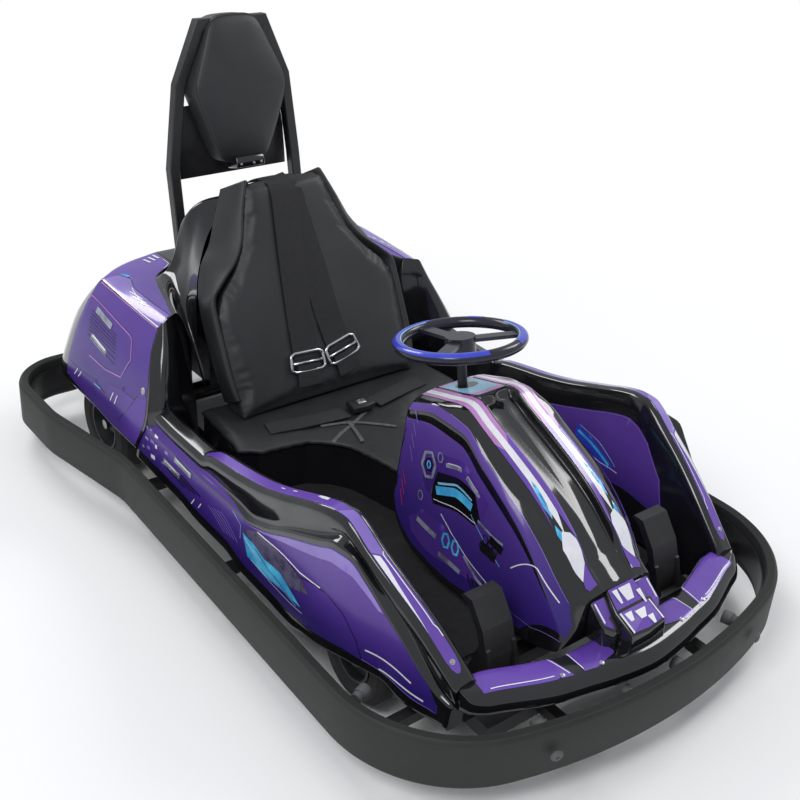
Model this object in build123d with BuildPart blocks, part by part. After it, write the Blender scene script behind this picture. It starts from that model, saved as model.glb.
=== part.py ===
from build123d import *
from math import cos, radians, sin, tan
import os

os.makedirs("parts", exist_ok=True)

# Electric amusement kart with a rubber bumper belt all round.
# Millimetres. +X forward, +Y to the driver's left, +Z up, ground at zero.

SIDES = {"left": 1, "right": -1}

# Fits

REST_GAP = 0.3
RUNNING_GAP = 0.05
MOVING_GAP = 6.0

# Levels

FRAME_BOTTOM = 70.0
FRAME_TOP = 106.0
PAN_THICKNESS = 4.0
PAN_BOTTOM = FRAME_TOP + REST_GAP
PAN_TOP = PAN_BOTTOM + PAN_THICKNESS
BODY_FOOT = PAN_TOP + REST_GAP
SHELL_WALL = 4.0

# Bumper belt, seen from above

BELT_BOTTOM = 60.0
BELT_TOP = 178.0
BELT_THICKNESS = 27.0
BELT_EDGE_RADIUS = 8.0
BELT_FRONT_X = 934.0
BELT_CORNER = (880.0, 370.0)
BELT_SHOULDER = (584.0, 585.0)
BELT_WAIST = (-345.0, 556.0)
BELT_FLARE = (-640.0, 612.0)
BELT_HIP = (-790.0, 612.0)
BELT_HIP_MID = (-891.0, 569.0)
BELT_REAR = (-934.0, 468.0)
BELT_KINK_RADIUS = 260.0

RAIL_THICKNESS = 5.0
RAIL_BOTTOM = 88.0
RAIL_TOP = 152.0
ARM_SIZE = 24.0

# Chassis

TUBE = 36.0
SIDE_RAIL_Y = 330.0
SIDE_RAIL_REAR_X = -893.0
SIDE_RAIL_FRONT_X = 778.0
CROSS_TUBE_X = (-875.0, -690.0, -430.0, -60.0, 640.0, 760.0)

# Running gear

REAR_AXLE_X = -600.0
REAR_TYRE_RADIUS = 125.0
REAR_TYRE_WIDTH = 95.0
REAR_TRACK_HALF = 432.5
REAR_RIM_RADIUS = 66.0
REAR_AXLE_RADIUS = 12.5
CARRIER_HALF_LENGTH = 30.0
CARRIER_HALF_WIDTH = 11.0
CARRIER_HEIGHT = 48.0

FRONT_AXLE_X = 470.0
FRONT_TYRE_RADIUS = 105.0
FRONT_TYRE_WIDTH = 55.0
FRONT_TRACK_HALF = 424.0
FRONT_RIM_RADIUS = 55.0
KINGPIN_Y = 380.0
KINGPIN_RADIUS = 6.0
BARREL_RADIUS = 14.0
BARREL_HEIGHT = 46.0
LUG_THICKNESS = 8.0
STUB_RADIUS = 8.5
BEAM_WIDTH = 50.0
YOKE_PLATE = 9.0

# Steering

ARM_PIN_X = 390.0
ARM_PIN_Y = 372.0
ARM_PIN_RADIUS = 4.0
ROD_Z = 53.0
ROD_RADIUS = 5.0
ROD_EYE_HALF = 6.0
ROD_EYE_RADIUS = 17.0
ROD_EYE_BORE = 12.0
WHEEL_CENTRE = (216.0, 0.0, 607.0)
COLUMN_LEAN = 12.0
COLUMN_RADIUS = 11.0
COLUMN_FOOT_Z = 82.0
PITMAN_RADIUS = 32.0
PITMAN_PIN_RADIUS = 4.0
PITMAN_PIN_LENGTH = 27.0
WHEEL_RING_RADIUS = 137.0
WHEEL_TUBE_RADIUS = 13.0

COLUMN_UP = (-sin(radians(COLUMN_LEAN)), 0.0, cos(radians(COLUMN_LEAN)))
COLUMN_FORWARD = (cos(radians(COLUMN_LEAN)), 0.0, sin(radians(COLUMN_LEAN)))
COLUMN_LENGTH = (WHEEL_CENTRE[2] - COLUMN_FOOT_Z) / cos(radians(COLUMN_LEAN))


def across(points, y_low, y_high, mode=Mode.ADD):
    """Extrude a closed (x, z) outline from one y to another."""
    with BuildSketch(Plane.XZ.offset(-y_high)) as outline:
        with BuildLine():
            Polyline(*points, close=True)
        make_face()
    extrude(outline.sketch, amount=y_high - y_low, mode=mode)


def along(points, x_low, x_high, mode=Mode.ADD):
    """Extrude a closed (y, z) outline from one x to another."""
    with BuildSketch(Plane.YZ.offset(x_low)) as outline:
        with BuildLine():
            Polyline(*points, close=True)
        make_face()
    extrude(outline.sketch, amount=x_high - x_low, mode=mode)


def upright(points, z_low, z_high, mode=Mode.ADD):
    """Extrude a closed (x, y) outline from one z to another."""
    with BuildSketch(Plane.XY.offset(z_low)) as outline:
        with BuildLine():
            Polyline(*points, close=True)
        make_face()
    extrude(outline.sketch, amount=z_high - z_low, mode=mode)


def block(x_range, y_range, z_range, mode=Mode.ADD):
    """Add a box given by its ranges along X, Y and Z."""
    (x0, x1), (y0, y1), (z0, z1) = x_range, y_range, z_range
    with Locations(((x0 + x1) / 2, (y0 + y1) / 2, (z0 + z1) / 2)):
        Box(x1 - x0, y1 - y0, z1 - z0, mode=mode)


def cross_bar(x, z, radius, y_low, y_high, mode=Mode.ADD):
    """Add a round bar that lies across the kart."""
    with BuildSketch(Plane.XZ.offset(-y_high)) as disc:
        with Locations((x, z)):
            Circle(radius)
    extrude(disc.sketch, amount=y_high - y_low, mode=mode)


def belt_plan(inset, z):
    """Closed plan of the belt's outer face at a height, moved inwards."""
    with BuildSketch(Plane.XY.offset(z)) as plan:
        with BuildLine():
            front = ThreePointArc(
                (BELT_CORNER[0], -BELT_CORNER[1]), (BELT_FRONT_X, 0), BELT_CORNER
            )
            TangentArc(front @ 1, BELT_SHOULDER, tangent=front % 1)
            TangentArc(
                front @ 0,
                (BELT_SHOULDER[0], -BELT_SHOULDER[1]),
                tangent=(front % 0) * -1,
            )
            for sign in SIDES.values():
                Polyline(
                    (BELT_SHOULDER[0], sign * BELT_SHOULDER[1]),
                    (BELT_WAIST[0], sign * BELT_WAIST[1]),
                    (BELT_FLARE[0], sign * BELT_FLARE[1]),
                    (BELT_HIP[0], sign * BELT_HIP[1]),
                )
                ThreePointArc(
                    (BELT_HIP[0], sign * BELT_HIP[1]),
                    (BELT_HIP_MID[0], sign * BELT_HIP_MID[1]),
                    (BELT_REAR[0], sign * BELT_REAR[1]),
                )
            Line((BELT_REAR[0], -BELT_REAR[1]), BELT_REAR)
        make_face()
        kinks = plan.vertices().filter_by_position(
            Axis.X, BELT_FLARE[0] - 1, BELT_WAIST[0] + 1
        )
        fillet(kinks, radius=BELT_KINK_RADIUS)
        if inset:
            offset(amount=-inset, mode=Mode.REPLACE)
    return plan.sketch


# Bumper

BELT_HEIGHT = BELT_TOP - BELT_BOTTOM
RAIL_HEIGHT = RAIL_TOP - RAIL_BOTTOM
RAIL_INSET = BELT_THICKNESS + REST_GAP
SIDE_RAIL_OUTER = SIDE_RAIL_Y + TUBE / 2
SIDE_RAIL_INNER = SIDE_RAIL_Y - TUBE / 2
ARM_Z_RANGE = (RAIL_BOTTOM - ARM_SIZE / 2, RAIL_BOTTOM + ARM_SIZE / 2)
END_ARM_Y = 200.0
SIDE_ARM_X = (650.0, 60.0, -330.0)
CUT_LENGTH = 2 * BELT_FRONT_X
CUT_HALF = CUT_LENGTH / 2

with BuildPart() as bumper_belt:
    extrude(belt_plan(0, BELT_BOTTOM), amount=BELT_HEIGHT)
    extrude(belt_plan(BELT_THICKNESS, BELT_BOTTOM), amount=BELT_HEIGHT, mode=Mode.SUBTRACT)
    fillet(bumper_belt.edges().group_by(Axis.Z)[-1], radius=BELT_EDGE_RADIUS)
    fillet(bumper_belt.edges().group_by(Axis.Z)[0], radius=BELT_EDGE_RADIUS)
bumper_belt.part.label = "bumper_belt"
export_step(bumper_belt.part, "parts/bumper_belt.step")

# Arms from the side rails out to the rail's inner face

with BuildPart() as rail_arms:
    for sign in SIDES.values():
        end_y = (sign * END_ARM_Y - ARM_SIZE / 2, sign * END_ARM_Y + ARM_SIZE / 2)
        block((SIDE_RAIL_FRONT_X + REST_GAP, CUT_HALF), end_y, ARM_Z_RANGE)
        block((-CUT_HALF, SIDE_RAIL_REAR_X - REST_GAP), end_y, ARM_Z_RANGE)
        for x in SIDE_ARM_X:
            ends = sorted((sign * (SIDE_RAIL_OUTER + REST_GAP), sign * BELT_FLARE[1]))
            block((x - ARM_SIZE / 2, x + ARM_SIZE / 2), ends, ARM_Z_RANGE)
    inside = belt_plan(RAIL_INSET + RAIL_THICKNESS + REST_GAP, ARM_Z_RANGE[0])
    extrude(inside, amount=ARM_SIZE, mode=Mode.INTERSECT)

with BuildPart() as bumper_rail:
    extrude(belt_plan(RAIL_INSET, RAIL_BOTTOM), amount=RAIL_HEIGHT)
    extrude(
        belt_plan(RAIL_INSET + RAIL_THICKNESS, RAIL_BOTTOM),
        amount=RAIL_HEIGHT,
        mode=Mode.SUBTRACT,
    )
    add(rail_arms.part)
bumper_rail.part.label = "bumper_rail"
export_step(bumper_rail.part, "parts/bumper_rail.step")

# Chassis

YOKE_INNER = SIDE_RAIL_OUTER
YOKE_OUTER = YOKE_INNER + YOKE_PLATE
BARREL_BOTTOM = FRONT_TYRE_RADIUS - BARREL_HEIGHT / 2
BARREL_TOP = FRONT_TYRE_RADIUS + BARREL_HEIGHT / 2
LUG_GAP = 1.0
LOWER_LUG = (BARREL_BOTTOM - LUG_GAP - LUG_THICKNESS, BARREL_BOTTOM - LUG_GAP)
UPPER_LUG = (BARREL_TOP + LUG_GAP, BARREL_TOP + LUG_GAP + LUG_THICKNESS)

with BuildPart() as chassis_frame:
    frame_z = (FRAME_BOTTOM, FRAME_TOP)
    for sign in SIDES.values():
        rail_y = (sign * SIDE_RAIL_Y - TUBE / 2, sign * SIDE_RAIL_Y + TUBE / 2)
        block((SIDE_RAIL_REAR_X, SIDE_RAIL_FRONT_X), rail_y, frame_z)
    for x in CROSS_TUBE_X:
        block((x - TUBE / 2, x + TUBE / 2), (-SIDE_RAIL_Y, SIDE_RAIL_Y), frame_z)
    beam_x = (FRONT_AXLE_X - BEAM_WIDTH / 2, FRONT_AXLE_X + BEAM_WIDTH / 2)
    block(beam_x, (-SIDE_RAIL_Y, SIDE_RAIL_Y), frame_z)
    for sign in SIDES.values():
        plate_y = sorted((sign * YOKE_INNER, sign * YOKE_OUTER))
        plate_x = (FRONT_AXLE_X - BARREL_RADIUS, FRONT_AXLE_X + BARREL_RADIUS)
        block(plate_x, plate_y, (FRAME_BOTTOM, UPPER_LUG[1]))
        for low, high in (LOWER_LUG, UPPER_LUG):
            lug_y = sorted((sign * YOKE_INNER, sign * KINGPIN_Y))
            block(plate_x, lug_y, (low, high))
            with Locations((FRONT_AXLE_X, sign * KINGPIN_Y, (low + high) / 2)):
                Cylinder(BARREL_RADIUS, high - low)
        with Locations((FRONT_AXLE_X, sign * KINGPIN_Y, (LOWER_LUG[0] + UPPER_LUG[1]) / 2)):
            Cylinder(KINGPIN_RADIUS, UPPER_LUG[1] - LOWER_LUG[0])
chassis_frame.part.label = "chassis_frame"
export_step(chassis_frame.part, "parts/chassis_frame.step")

# Floor pan, cut back beside the front wheels and round the steering column

PAN_REAR_X = -380.0
PAN_FRONT_X = 600.0
PAN_HALF_WIDTH = 404.0
PAN_NARROW = 346.0
PAN_NOTCH_X = (330.0, 610.0)
COLUMN_HOLE_RADIUS = COLUMN_RADIUS + MOVING_GAP + 1.0
COLUMN_AT_PAN_X = WHEEL_CENTRE[0] + (WHEEL_CENTRE[2] - PAN_BOTTOM) * tan(radians(COLUMN_LEAN))

with BuildPart() as floor_pan:
    block((PAN_REAR_X, PAN_FRONT_X), (-PAN_HALF_WIDTH, PAN_HALF_WIDTH), (PAN_BOTTOM, PAN_TOP))
    for sign in SIDES.values():
        notch_y = sorted((sign * PAN_NARROW, sign * (PAN_HALF_WIDTH + 1)))
        block(PAN_NOTCH_X, notch_y, (PAN_BOTTOM, PAN_TOP), mode=Mode.SUBTRACT)
    with Locations((COLUMN_AT_PAN_X, 0, PAN_BOTTOM)):
        Cylinder(COLUMN_HOLE_RADIUS, 4 * PAN_THICKNESS, mode=Mode.SUBTRACT)
floor_pan.part.label = "floor_pan"
export_step(floor_pan.part, "parts/floor_pan.step")

# Heavy items inside the seat base and the tail

BATTERY_X = (-350.0, -125.0)
BATTERY_HALF_WIDTH = 180.0
BATTERY_HEIGHT = 90.0
MOTOR_X = (-870.0, -672.0)
MOTOR_HALF_WIDTH = 120.0
MOTOR_HEIGHT = 130.0

with BuildPart() as battery_pack:
    battery_y = (-BATTERY_HALF_WIDTH, BATTERY_HALF_WIDTH)
    block(BATTERY_X, battery_y, (BODY_FOOT, BODY_FOOT + BATTERY_HEIGHT))
battery_pack.part.label = "battery_pack"
export_step(battery_pack.part, "parts/battery_pack.step")

with BuildPart() as drive_motor:
    motor_y = (-MOTOR_HALF_WIDTH, MOTOR_HALF_WIDTH)
    block(MOTOR_X, motor_y, (PAN_BOTTOM, PAN_BOTTOM + MOTOR_HEIGHT))
drive_motor.part.label = "drive_motor"
export_step(drive_motor.part, "parts/drive_motor.step")

# Rear axle with its bearing blocks, rims and tyres

AXLE_HALF_LENGTH = REAR_TRACK_HALF + REAR_TYRE_WIDTH / 2 - 6.0
RIM_BARREL = 6.0
RIM_DISC = 8.0

with BuildPart() as rear_axle:
    cross_bar(REAR_AXLE_X, REAR_TYRE_RADIUS, REAR_AXLE_RADIUS, -AXLE_HALF_LENGTH, AXLE_HALF_LENGTH)
rear_axle.part.label = "rear_axle"
export_step(rear_axle.part, "parts/rear_axle.step")

with BuildPart() as axle_carriers:
    carrier_x = (REAR_AXLE_X - CARRIER_HALF_LENGTH, REAR_AXLE_X + CARRIER_HALF_LENGTH)
    for sign in SIDES.values():
        carrier_y = (sign * SIDE_RAIL_Y - CARRIER_HALF_WIDTH, sign * SIDE_RAIL_Y + CARRIER_HALF_WIDTH)
        block(carrier_x, carrier_y, (PAN_BOTTOM, PAN_BOTTOM + CARRIER_HEIGHT))
    bore = REAR_AXLE_RADIUS + RUNNING_GAP
    cross_bar(REAR_AXLE_X, REAR_TYRE_RADIUS, bore, -SIDE_RAIL_OUTER, SIDE_RAIL_OUTER, Mode.SUBTRACT)
axle_carriers.part.label = "axle_carriers"
export_step(axle_carriers.part, "parts/axle_carriers.step")


def wheel_profile(x, y, z, points):
    """Revolve a (width, radius) outline about the wheel's axle at x, y, z."""
    with BuildSketch(Plane(origin=(x, y, z), x_dir=(0, 1, 0), z_dir=(1, 0, 0))) as outline:
        with BuildLine():
            Polyline(*points, close=True)
        make_face()
    revolve(outline.sketch, axis=Axis((x, y, z), (0, 1, 0)))


def tyre_outline(width, radius, rim_radius):
    """Square-shouldered tyre section, as (width, radius) points."""
    half = width / 2
    return [
        (-half + 8, rim_radius + REST_GAP),
        (-half, rim_radius + 12),
        (-half, radius - 16),
        (-half + 10, radius - 3),
        (-half + 24 * width / 95, radius),
        (half - 24 * width / 95, radius),
        (half - 10, radius - 3),
        (half, radius - 16),
        (half, rim_radius + 12),
        (half - 8, rim_radius + REST_GAP),
    ]


def rim_outline(width, rim_radius, bore_radius, hub_radius, hub_half):
    """Rim barrel with a centre disc and hub, as (width, radius) points."""
    half = width / 2 - 4
    inner = rim_radius - RIM_BARREL
    return [
        (-half, rim_radius),
        (half, rim_radius),
        (half, inner),
        (RIM_DISC / 2, inner),
        (RIM_DISC / 2, hub_radius),
        (hub_half, hub_radius),
        (hub_half, bore_radius),
        (-hub_half, bore_radius),
        (-hub_half, hub_radius),
        (-RIM_DISC / 2, hub_radius),
        (-RIM_DISC / 2, inner),
        (-half, inner),
    ]


REAR_TYRE = tyre_outline(REAR_TYRE_WIDTH, REAR_TYRE_RADIUS, REAR_RIM_RADIUS)
FRONT_TYRE = tyre_outline(FRONT_TYRE_WIDTH, FRONT_TYRE_RADIUS, FRONT_RIM_RADIUS)
REAR_RIM = rim_outline(REAR_TYRE_WIDTH, REAR_RIM_RADIUS, REAR_AXLE_RADIUS + RUNNING_GAP, 26.0, 24.0)
FRONT_RIM = rim_outline(FRONT_TYRE_WIDTH, FRONT_RIM_RADIUS, STUB_RADIUS + RUNNING_GAP, 20.0, 20.0)

for side, sign in SIDES.items():
    with BuildPart() as rear_tyre:
        wheel_profile(REAR_AXLE_X, sign * REAR_TRACK_HALF, REAR_TYRE_RADIUS, REAR_TYRE)
    rear_tyre.part.label = f"rear_tyre_{side}"
    export_step(rear_tyre.part, f"parts/rear_tyre_{side}.step")

    with BuildPart() as rear_rim:
        wheel_profile(REAR_AXLE_X, sign * REAR_TRACK_HALF, REAR_TYRE_RADIUS, REAR_RIM)
    rear_rim.part.label = f"rear_rim_{side}"
    export_step(rear_rim.part, f"parts/rear_rim_{side}.step")

    with BuildPart() as front_tyre:
        wheel_profile(FRONT_AXLE_X, sign * FRONT_TRACK_HALF, FRONT_TYRE_RADIUS, FRONT_TYRE)
    front_tyre.part.label = f"front_tyre_{side}"
    export_step(front_tyre.part, f"parts/front_tyre_{side}.step")

    with BuildPart() as front_rim:
        wheel_profile(FRONT_AXLE_X, sign * FRONT_TRACK_HALF, FRONT_TYRE_RADIUS, FRONT_RIM)
    front_rim.part.label = f"front_rim_{side}"
    export_step(front_rim.part, f"parts/front_rim_{side}.step")

# Steering knuckles and the rod that joins them

STUB_END_Y = FRONT_TRACK_HALF + 24.0
ARM_HALF_WIDTH = 6.0
ARM_FOOT = ROD_Z + ROD_EYE_HALF + REST_GAP
ARM_TIP_DEPTH = 5.7
ARM_ROOT_Z = (88.0, 98.0)
ARM_TIP_X = ARM_PIN_X - 12.0
ARM_BEND_X = (420.0, 438.0)
ARM_SLANT = 5.0
KNUCKLE_ARM = [
    (FRONT_AXLE_X, ARM_ROOT_Z[1]),
    (ARM_BEND_X[1], ARM_ROOT_Z[1]),
    (ARM_BEND_X[0], ARM_FOOT + ARM_TIP_DEPTH),
    (ARM_TIP_X, ARM_FOOT + ARM_TIP_DEPTH),
    (ARM_TIP_X, ARM_FOOT),
    (ARM_BEND_X[0] + ARM_SLANT, ARM_FOOT),
    (ARM_BEND_X[1] + ARM_SLANT, ARM_ROOT_Z[0]),
    (FRONT_AXLE_X, ARM_ROOT_Z[0]),
]

for side, sign in SIDES.items():
    with BuildPart() as knuckle:
        with Locations((FRONT_AXLE_X, sign * KINGPIN_Y, FRONT_TYRE_RADIUS)):
            Cylinder(BARREL_RADIUS, BARREL_HEIGHT)
        stub = sorted((sign * KINGPIN_Y, sign * STUB_END_Y))
        cross_bar(FRONT_AXLE_X, FRONT_TYRE_RADIUS, STUB_RADIUS, *stub)
        arm_y = sign * (ARM_PIN_Y + KINGPIN_Y) / 2
        across(KNUCKLE_ARM, arm_y - ARM_HALF_WIDTH, arm_y + ARM_HALF_WIDTH)
        with BuildSketch(Plane.XY.offset(ARM_FOOT)):
            with Locations((ARM_PIN_X, sign * ARM_PIN_Y)):
                Circle(ARM_PIN_RADIUS)
        extrude(amount=-(ARM_FOOT - ROD_Z + ROD_EYE_HALF))
        with Locations((FRONT_AXLE_X, sign * KINGPIN_Y, FRONT_TYRE_RADIUS)):
            Cylinder(KINGPIN_RADIUS + RUNNING_GAP, BARREL_HEIGHT, mode=Mode.SUBTRACT)
    knuckle.part.label = f"knuckle_{side}"
    export_step(knuckle.part, f"parts/knuckle_{side}.step")

ROD_LUG_X = (280.0, ARM_PIN_X)
ROD_LUG_HALF = 15.0
ROD_SLOT_X = (288.0, 332.0)
ROD_SLOT_HALF = 8.0

with BuildPart() as tie_rod:
    cross_bar(ARM_PIN_X, ROD_Z, ROD_RADIUS, -ARM_PIN_Y + ROD_EYE_BORE + 2, ARM_PIN_Y - ROD_EYE_BORE - 2)
    rod_z = (ROD_Z - ROD_EYE_HALF, ROD_Z + ROD_EYE_HALF)
    block(ROD_LUG_X, (-ROD_LUG_HALF, ROD_LUG_HALF), rod_z)
    block(ROD_SLOT_X, (-ROD_SLOT_HALF, ROD_SLOT_HALF), rod_z, mode=Mode.SUBTRACT)
    with Locations((ARM_PIN_X, ARM_PIN_Y, ROD_Z), (ARM_PIN_X, -ARM_PIN_Y, ROD_Z)):
        Cylinder(ROD_EYE_RADIUS, 2 * ROD_EYE_HALF)
    with Locations((ARM_PIN_X, ARM_PIN_Y, ROD_Z), (ARM_PIN_X, -ARM_PIN_Y, ROD_Z)):
        Cylinder(ROD_EYE_BORE, 2 * ROD_EYE_HALF, mode=Mode.SUBTRACT)
tie_rod.part.label = "tie_rod"
export_step(tie_rod.part, "parts/tie_rod.step")

# Steering column and wheel

HUB_RADIUS = 34.0
HUB_DEPTH = 26.0
HUB_CAP = 10.0
SPOKE_WIDTH = 30.0
SPOKE_THICKNESS = 8.0
SPOKE_ANGLES = (60.0, 180.0, 300.0)
PITMAN_THICKNESS = 8.0


def on_column(depth):
    """Plane square to the column, a depth below the wheel's centre."""
    origin = tuple(c - depth * u for c, u in zip(WHEEL_CENTRE, COLUMN_UP))
    return Plane(origin=origin, x_dir=COLUMN_FORWARD, z_dir=COLUMN_UP)


with BuildPart() as steering_column:
    with BuildSketch(on_column(COLUMN_LENGTH)):
        Circle(COLUMN_RADIUS)
    extrude(amount=COLUMN_LENGTH - HUB_DEPTH - REST_GAP)
    with BuildSketch(on_column(COLUMN_LENGTH)):
        Circle(COLUMN_RADIUS + 4)
        with Locations((-PITMAN_RADIUS / 2, 0)):
            Rectangle(PITMAN_RADIUS, 2 * (PITMAN_PIN_RADIUS + 4))
        with Locations((-PITMAN_RADIUS, 0)):
            Circle(PITMAN_PIN_RADIUS + 4)
    extrude(amount=PITMAN_THICKNESS)
    with BuildSketch(on_column(COLUMN_LENGTH)):
        with Locations((-PITMAN_RADIUS, 0)):
            Circle(PITMAN_PIN_RADIUS)
    extrude(amount=-PITMAN_PIN_LENGTH)
steering_column.part.label = "steering_column"
export_step(steering_column.part, "parts/steering_column.step")

with BuildPart() as steering_wheel:
    with BuildSketch(Plane(origin=WHEEL_CENTRE, x_dir=COLUMN_FORWARD, z_dir=(0, 1, 0))):
        with Locations((-WHEEL_RING_RADIUS, 0)):
            Circle(WHEEL_TUBE_RADIUS)
    revolve(axis=Axis(WHEEL_CENTRE, COLUMN_UP))
    with BuildSketch(on_column(HUB_DEPTH)):
        Circle(HUB_RADIUS)
    extrude(amount=HUB_DEPTH + HUB_CAP)
    for angle in SPOKE_ANGLES:
        with BuildSketch(on_column(SPOKE_THICKNESS / 2)):
            with Locations(Location((0, 0), angle)):
                with Locations((WHEEL_RING_RADIUS / 2, 0)):
                    Rectangle(WHEEL_RING_RADIUS, SPOKE_WIDTH)
        extrude(amount=SPOKE_THICKNESS)
steering_wheel.part.label = "steering_wheel"
export_step(steering_wheel.part, "parts/steering_wheel.step")

BEARING_RADIUS = 18.0
BEARING_FOOT = (90.0, 64.0, 6.0)
BEARING_TOP_Z = 170.0

with BuildPart() as column_bracket:
    with Locations((COLUMN_AT_PAN_X - 10, 0, BODY_FOOT + BEARING_FOOT[2] / 2)):
        Box(*BEARING_FOOT)
    with BuildSketch(on_column((WHEEL_CENTRE[2] - BEARING_TOP_Z) / cos(radians(COLUMN_LEAN)))):
        Circle(BEARING_RADIUS)
    extrude(amount=-52.0)
    with BuildSketch(on_column(0)):
        Circle(COLUMN_RADIUS + RUNNING_GAP)
    extrude(amount=-COLUMN_LENGTH, mode=Mode.SUBTRACT)
    block((0, 500), (-60, 60), (0, BODY_FOOT), mode=Mode.SUBTRACT)
column_bracket.part.label = "column_bracket"
export_step(column_bracket.part, "parts/column_bracket.step")

# Side bodies: an inner ridge and a lower outer panel, with a dark channel between

SIDE_REAR_X = -378.0
SIDE_FOOT = 30.0
SIDE_OUTER_Y = 499.0
CHANNEL_Y = 462.0
RIDGE = [
    (SIDE_REAR_X, 300.0),
    (-240.0, 290.0),
    (-108.0, 291.0),
    (-74.0, 305.0),
    (6.0, 319.0),
    (152.0, 351.0),
    (276.0, 394.0),
    (345.0, 419.0),
    (392.0, 431.0),
    (425.0, 432.0),
    (459.0, 415.0),
    (561.0, 350.0),
    (636.0, 299.0),
    (704.0, 244.0),
    (742.0, 212.0),
    (742.0, SIDE_FOOT),
    (SIDE_REAR_X, SIDE_FOOT),
]
PANEL_TOP = [
    (SIDE_REAR_X - 1, 262.0),
    (-254.0, 246.0),
    (-134.0, 246.0),
    (-21.0, 250.0),
    (65.0, 250.0),
    (107.0, 246.0),
    (178.0, 269.0),
    (284.0, 319.0),
    (390.0, 366.0),
    (437.0, 387.0),
    (481.0, 389.0),
    (520.0, 358.0),
    (573.0, 304.0),
    (612.0, 267.0),
    (664.0, 212.0),
    (704.0, 150.0),
    (760.0, 140.0),
    (760.0, 600.0),
    (SIDE_REAR_X - 1, 600.0),
]
PANEL_FOOT = [
    (SIDE_REAR_X - 1, 162.0),
    (-163.0, 156.0),
    (42.0, 146.0),
    (127.0, 120.0),
    (310.0, 112.0),
    (400.0, 116.0),
    (450.0, 142.0),
    (490.0, 160.0),
    (620.0, 160.0),
    (760.0, 138.0),
    (760.0, 0.0),
    (SIDE_REAR_X - 1, 0.0),
]
SIDE_SECTION = [
    (348.0, SIDE_FOOT - 1),
    (348.0, BODY_FOOT),
    (402.0, 386.0),
    (418.0, 460.0),
    (SIDE_OUTER_Y, 460.0),
    (SIDE_OUTER_Y, SIDE_FOOT - 1),
]
SIDE_PLAN = [
    (SIDE_REAR_X - 1, 300.0),
    (SIDE_REAR_X - 1, SIDE_OUTER_Y),
    (390.0, SIDE_OUTER_Y),
    (506.0, 485.0),
    (581.0, 468.0),
    (660.0, 447.0),
    (743.0, 424.0),
    (743.0, 300.0),
]
BEAM_NOTCH_X = (FRONT_AXLE_X - 34.0, FRONT_AXLE_X + 34.0)
BEAM_NOTCH_Z = (0.0, 150.0)


def inset_prism(points, plane, inset, depth):
    """Solid of a closed outline moved inwards, pulled out from a plane."""
    with BuildSketch(plane) as outline:
        with BuildLine():
            Polyline(*points, close=True)
        make_face()
        if inset:
            offset(amount=-inset, kind=Kind.INTERSECTION, mode=Mode.REPLACE)
    return extrude(outline.sketch, amount=depth, mode=Mode.PRIVATE)


def side_solid(inset):
    """Left side body without its hollow, each face moved inwards."""
    with BuildPart() as solid:
        add(inset_prism(RIDGE, Plane.XZ.offset(-CUT_HALF), inset, CUT_HALF))
        across(shift(PANEL_TOP, -inset), CHANNEL_Y - inset, 600, mode=Mode.SUBTRACT)
        section = inset_prism(SIDE_SECTION, Plane.YZ.offset(-CUT_HALF), inset, CUT_LENGTH)
        add(section, mode=Mode.INTERSECT)
        plan = inset_prism(SIDE_PLAN, Plane.XY, inset, CUT_HALF)
        add(plan, mode=Mode.INTERSECT)
    return solid.part


def shift(points, rise):
    """Outline moved up or down."""
    return [(x, z + rise) for x, z in points]


for side, sign in SIDES.items():
    with BuildPart() as side_body:
        add(side_solid(0))
        add(side_solid(SHELL_WALL), mode=Mode.SUBTRACT)
        across(PANEL_FOOT, 420, 600, mode=Mode.SUBTRACT)
        block((-500, 900), (300, 421), (0, BODY_FOOT), mode=Mode.SUBTRACT)
        block(BEAM_NOTCH_X, (300, 421), BEAM_NOTCH_Z, mode=Mode.SUBTRACT)
        if sign < 0:
            mirror(about=Plane.XZ, mode=Mode.REPLACE)
    side_body.part.label = f"side_body_{side}"
    export_step(side_body.part, f"parts/side_body_{side}.step")

# Haunches over the rear wheels

HAUNCH_INNER_Y = 204.0
HAUNCH_TOP = 482.0
TAIL_X = -888.0
HAUNCH_SIDE = [
    (-404.0, 467.0),
    (-402.0, 404.0),
    (-398.0, 349.0),
    (SIDE_REAR_X - REST_GAP, 290.0),
    (SIDE_REAR_X - REST_GAP, SIDE_FOOT),
    (TAIL_X, SIDE_FOOT),
    (TAIL_X, 207.0),
    (-876.0, 316.0),
    (-850.0, 400.0),
    (-812.0, 470.0),
    (-798.0, HAUNCH_TOP),
    (-420.0, HAUNCH_TOP),
]
HAUNCH_SECTION = [
    (HAUNCH_INNER_Y, SIDE_FOOT - 1),
    (HAUNCH_INNER_Y, HAUNCH_TOP + 1),
    (388.0, HAUNCH_TOP + 1),
    (404.0, 467.0),
    (430.0, 418.0),
    (449.0, 376.0),
    (470.0, 315.0),
    (494.0, 240.0),
    (SIDE_OUTER_Y, 200.0),
    (SIDE_OUTER_Y, SIDE_FOOT - 1),
]
HAUNCH_PLAN = [
    (TAIL_X - 1, HAUNCH_INNER_Y - 1),
    (-722.0, HAUNCH_INNER_Y - 1),
    (-662.0, 280.0),
    (-433.0, 358.0),
    (-374.0, 425.0),
    (-357.0, 501.0),
    (-780.0, 501.0),
    (-850.0, 470.0),
    (TAIL_X - 1, 410.0),
]
TAIL_TURN = 26.6
TAIL_SLOPE = [
    (700.0, HAUNCH_TOP + 2),
    (818.0, HAUNCH_TOP),
    (836.0, 470.0),
    (896.0, 400.0),
    (951.0, 316.0),
    (989.0, 207.0),
    (1001.0, SIDE_FOOT - 1),
    (700.0, SIDE_FOOT - 1),
    (0.0, SIDE_FOOT - 1),
    (0.0, HAUNCH_TOP + 2),
]
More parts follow.
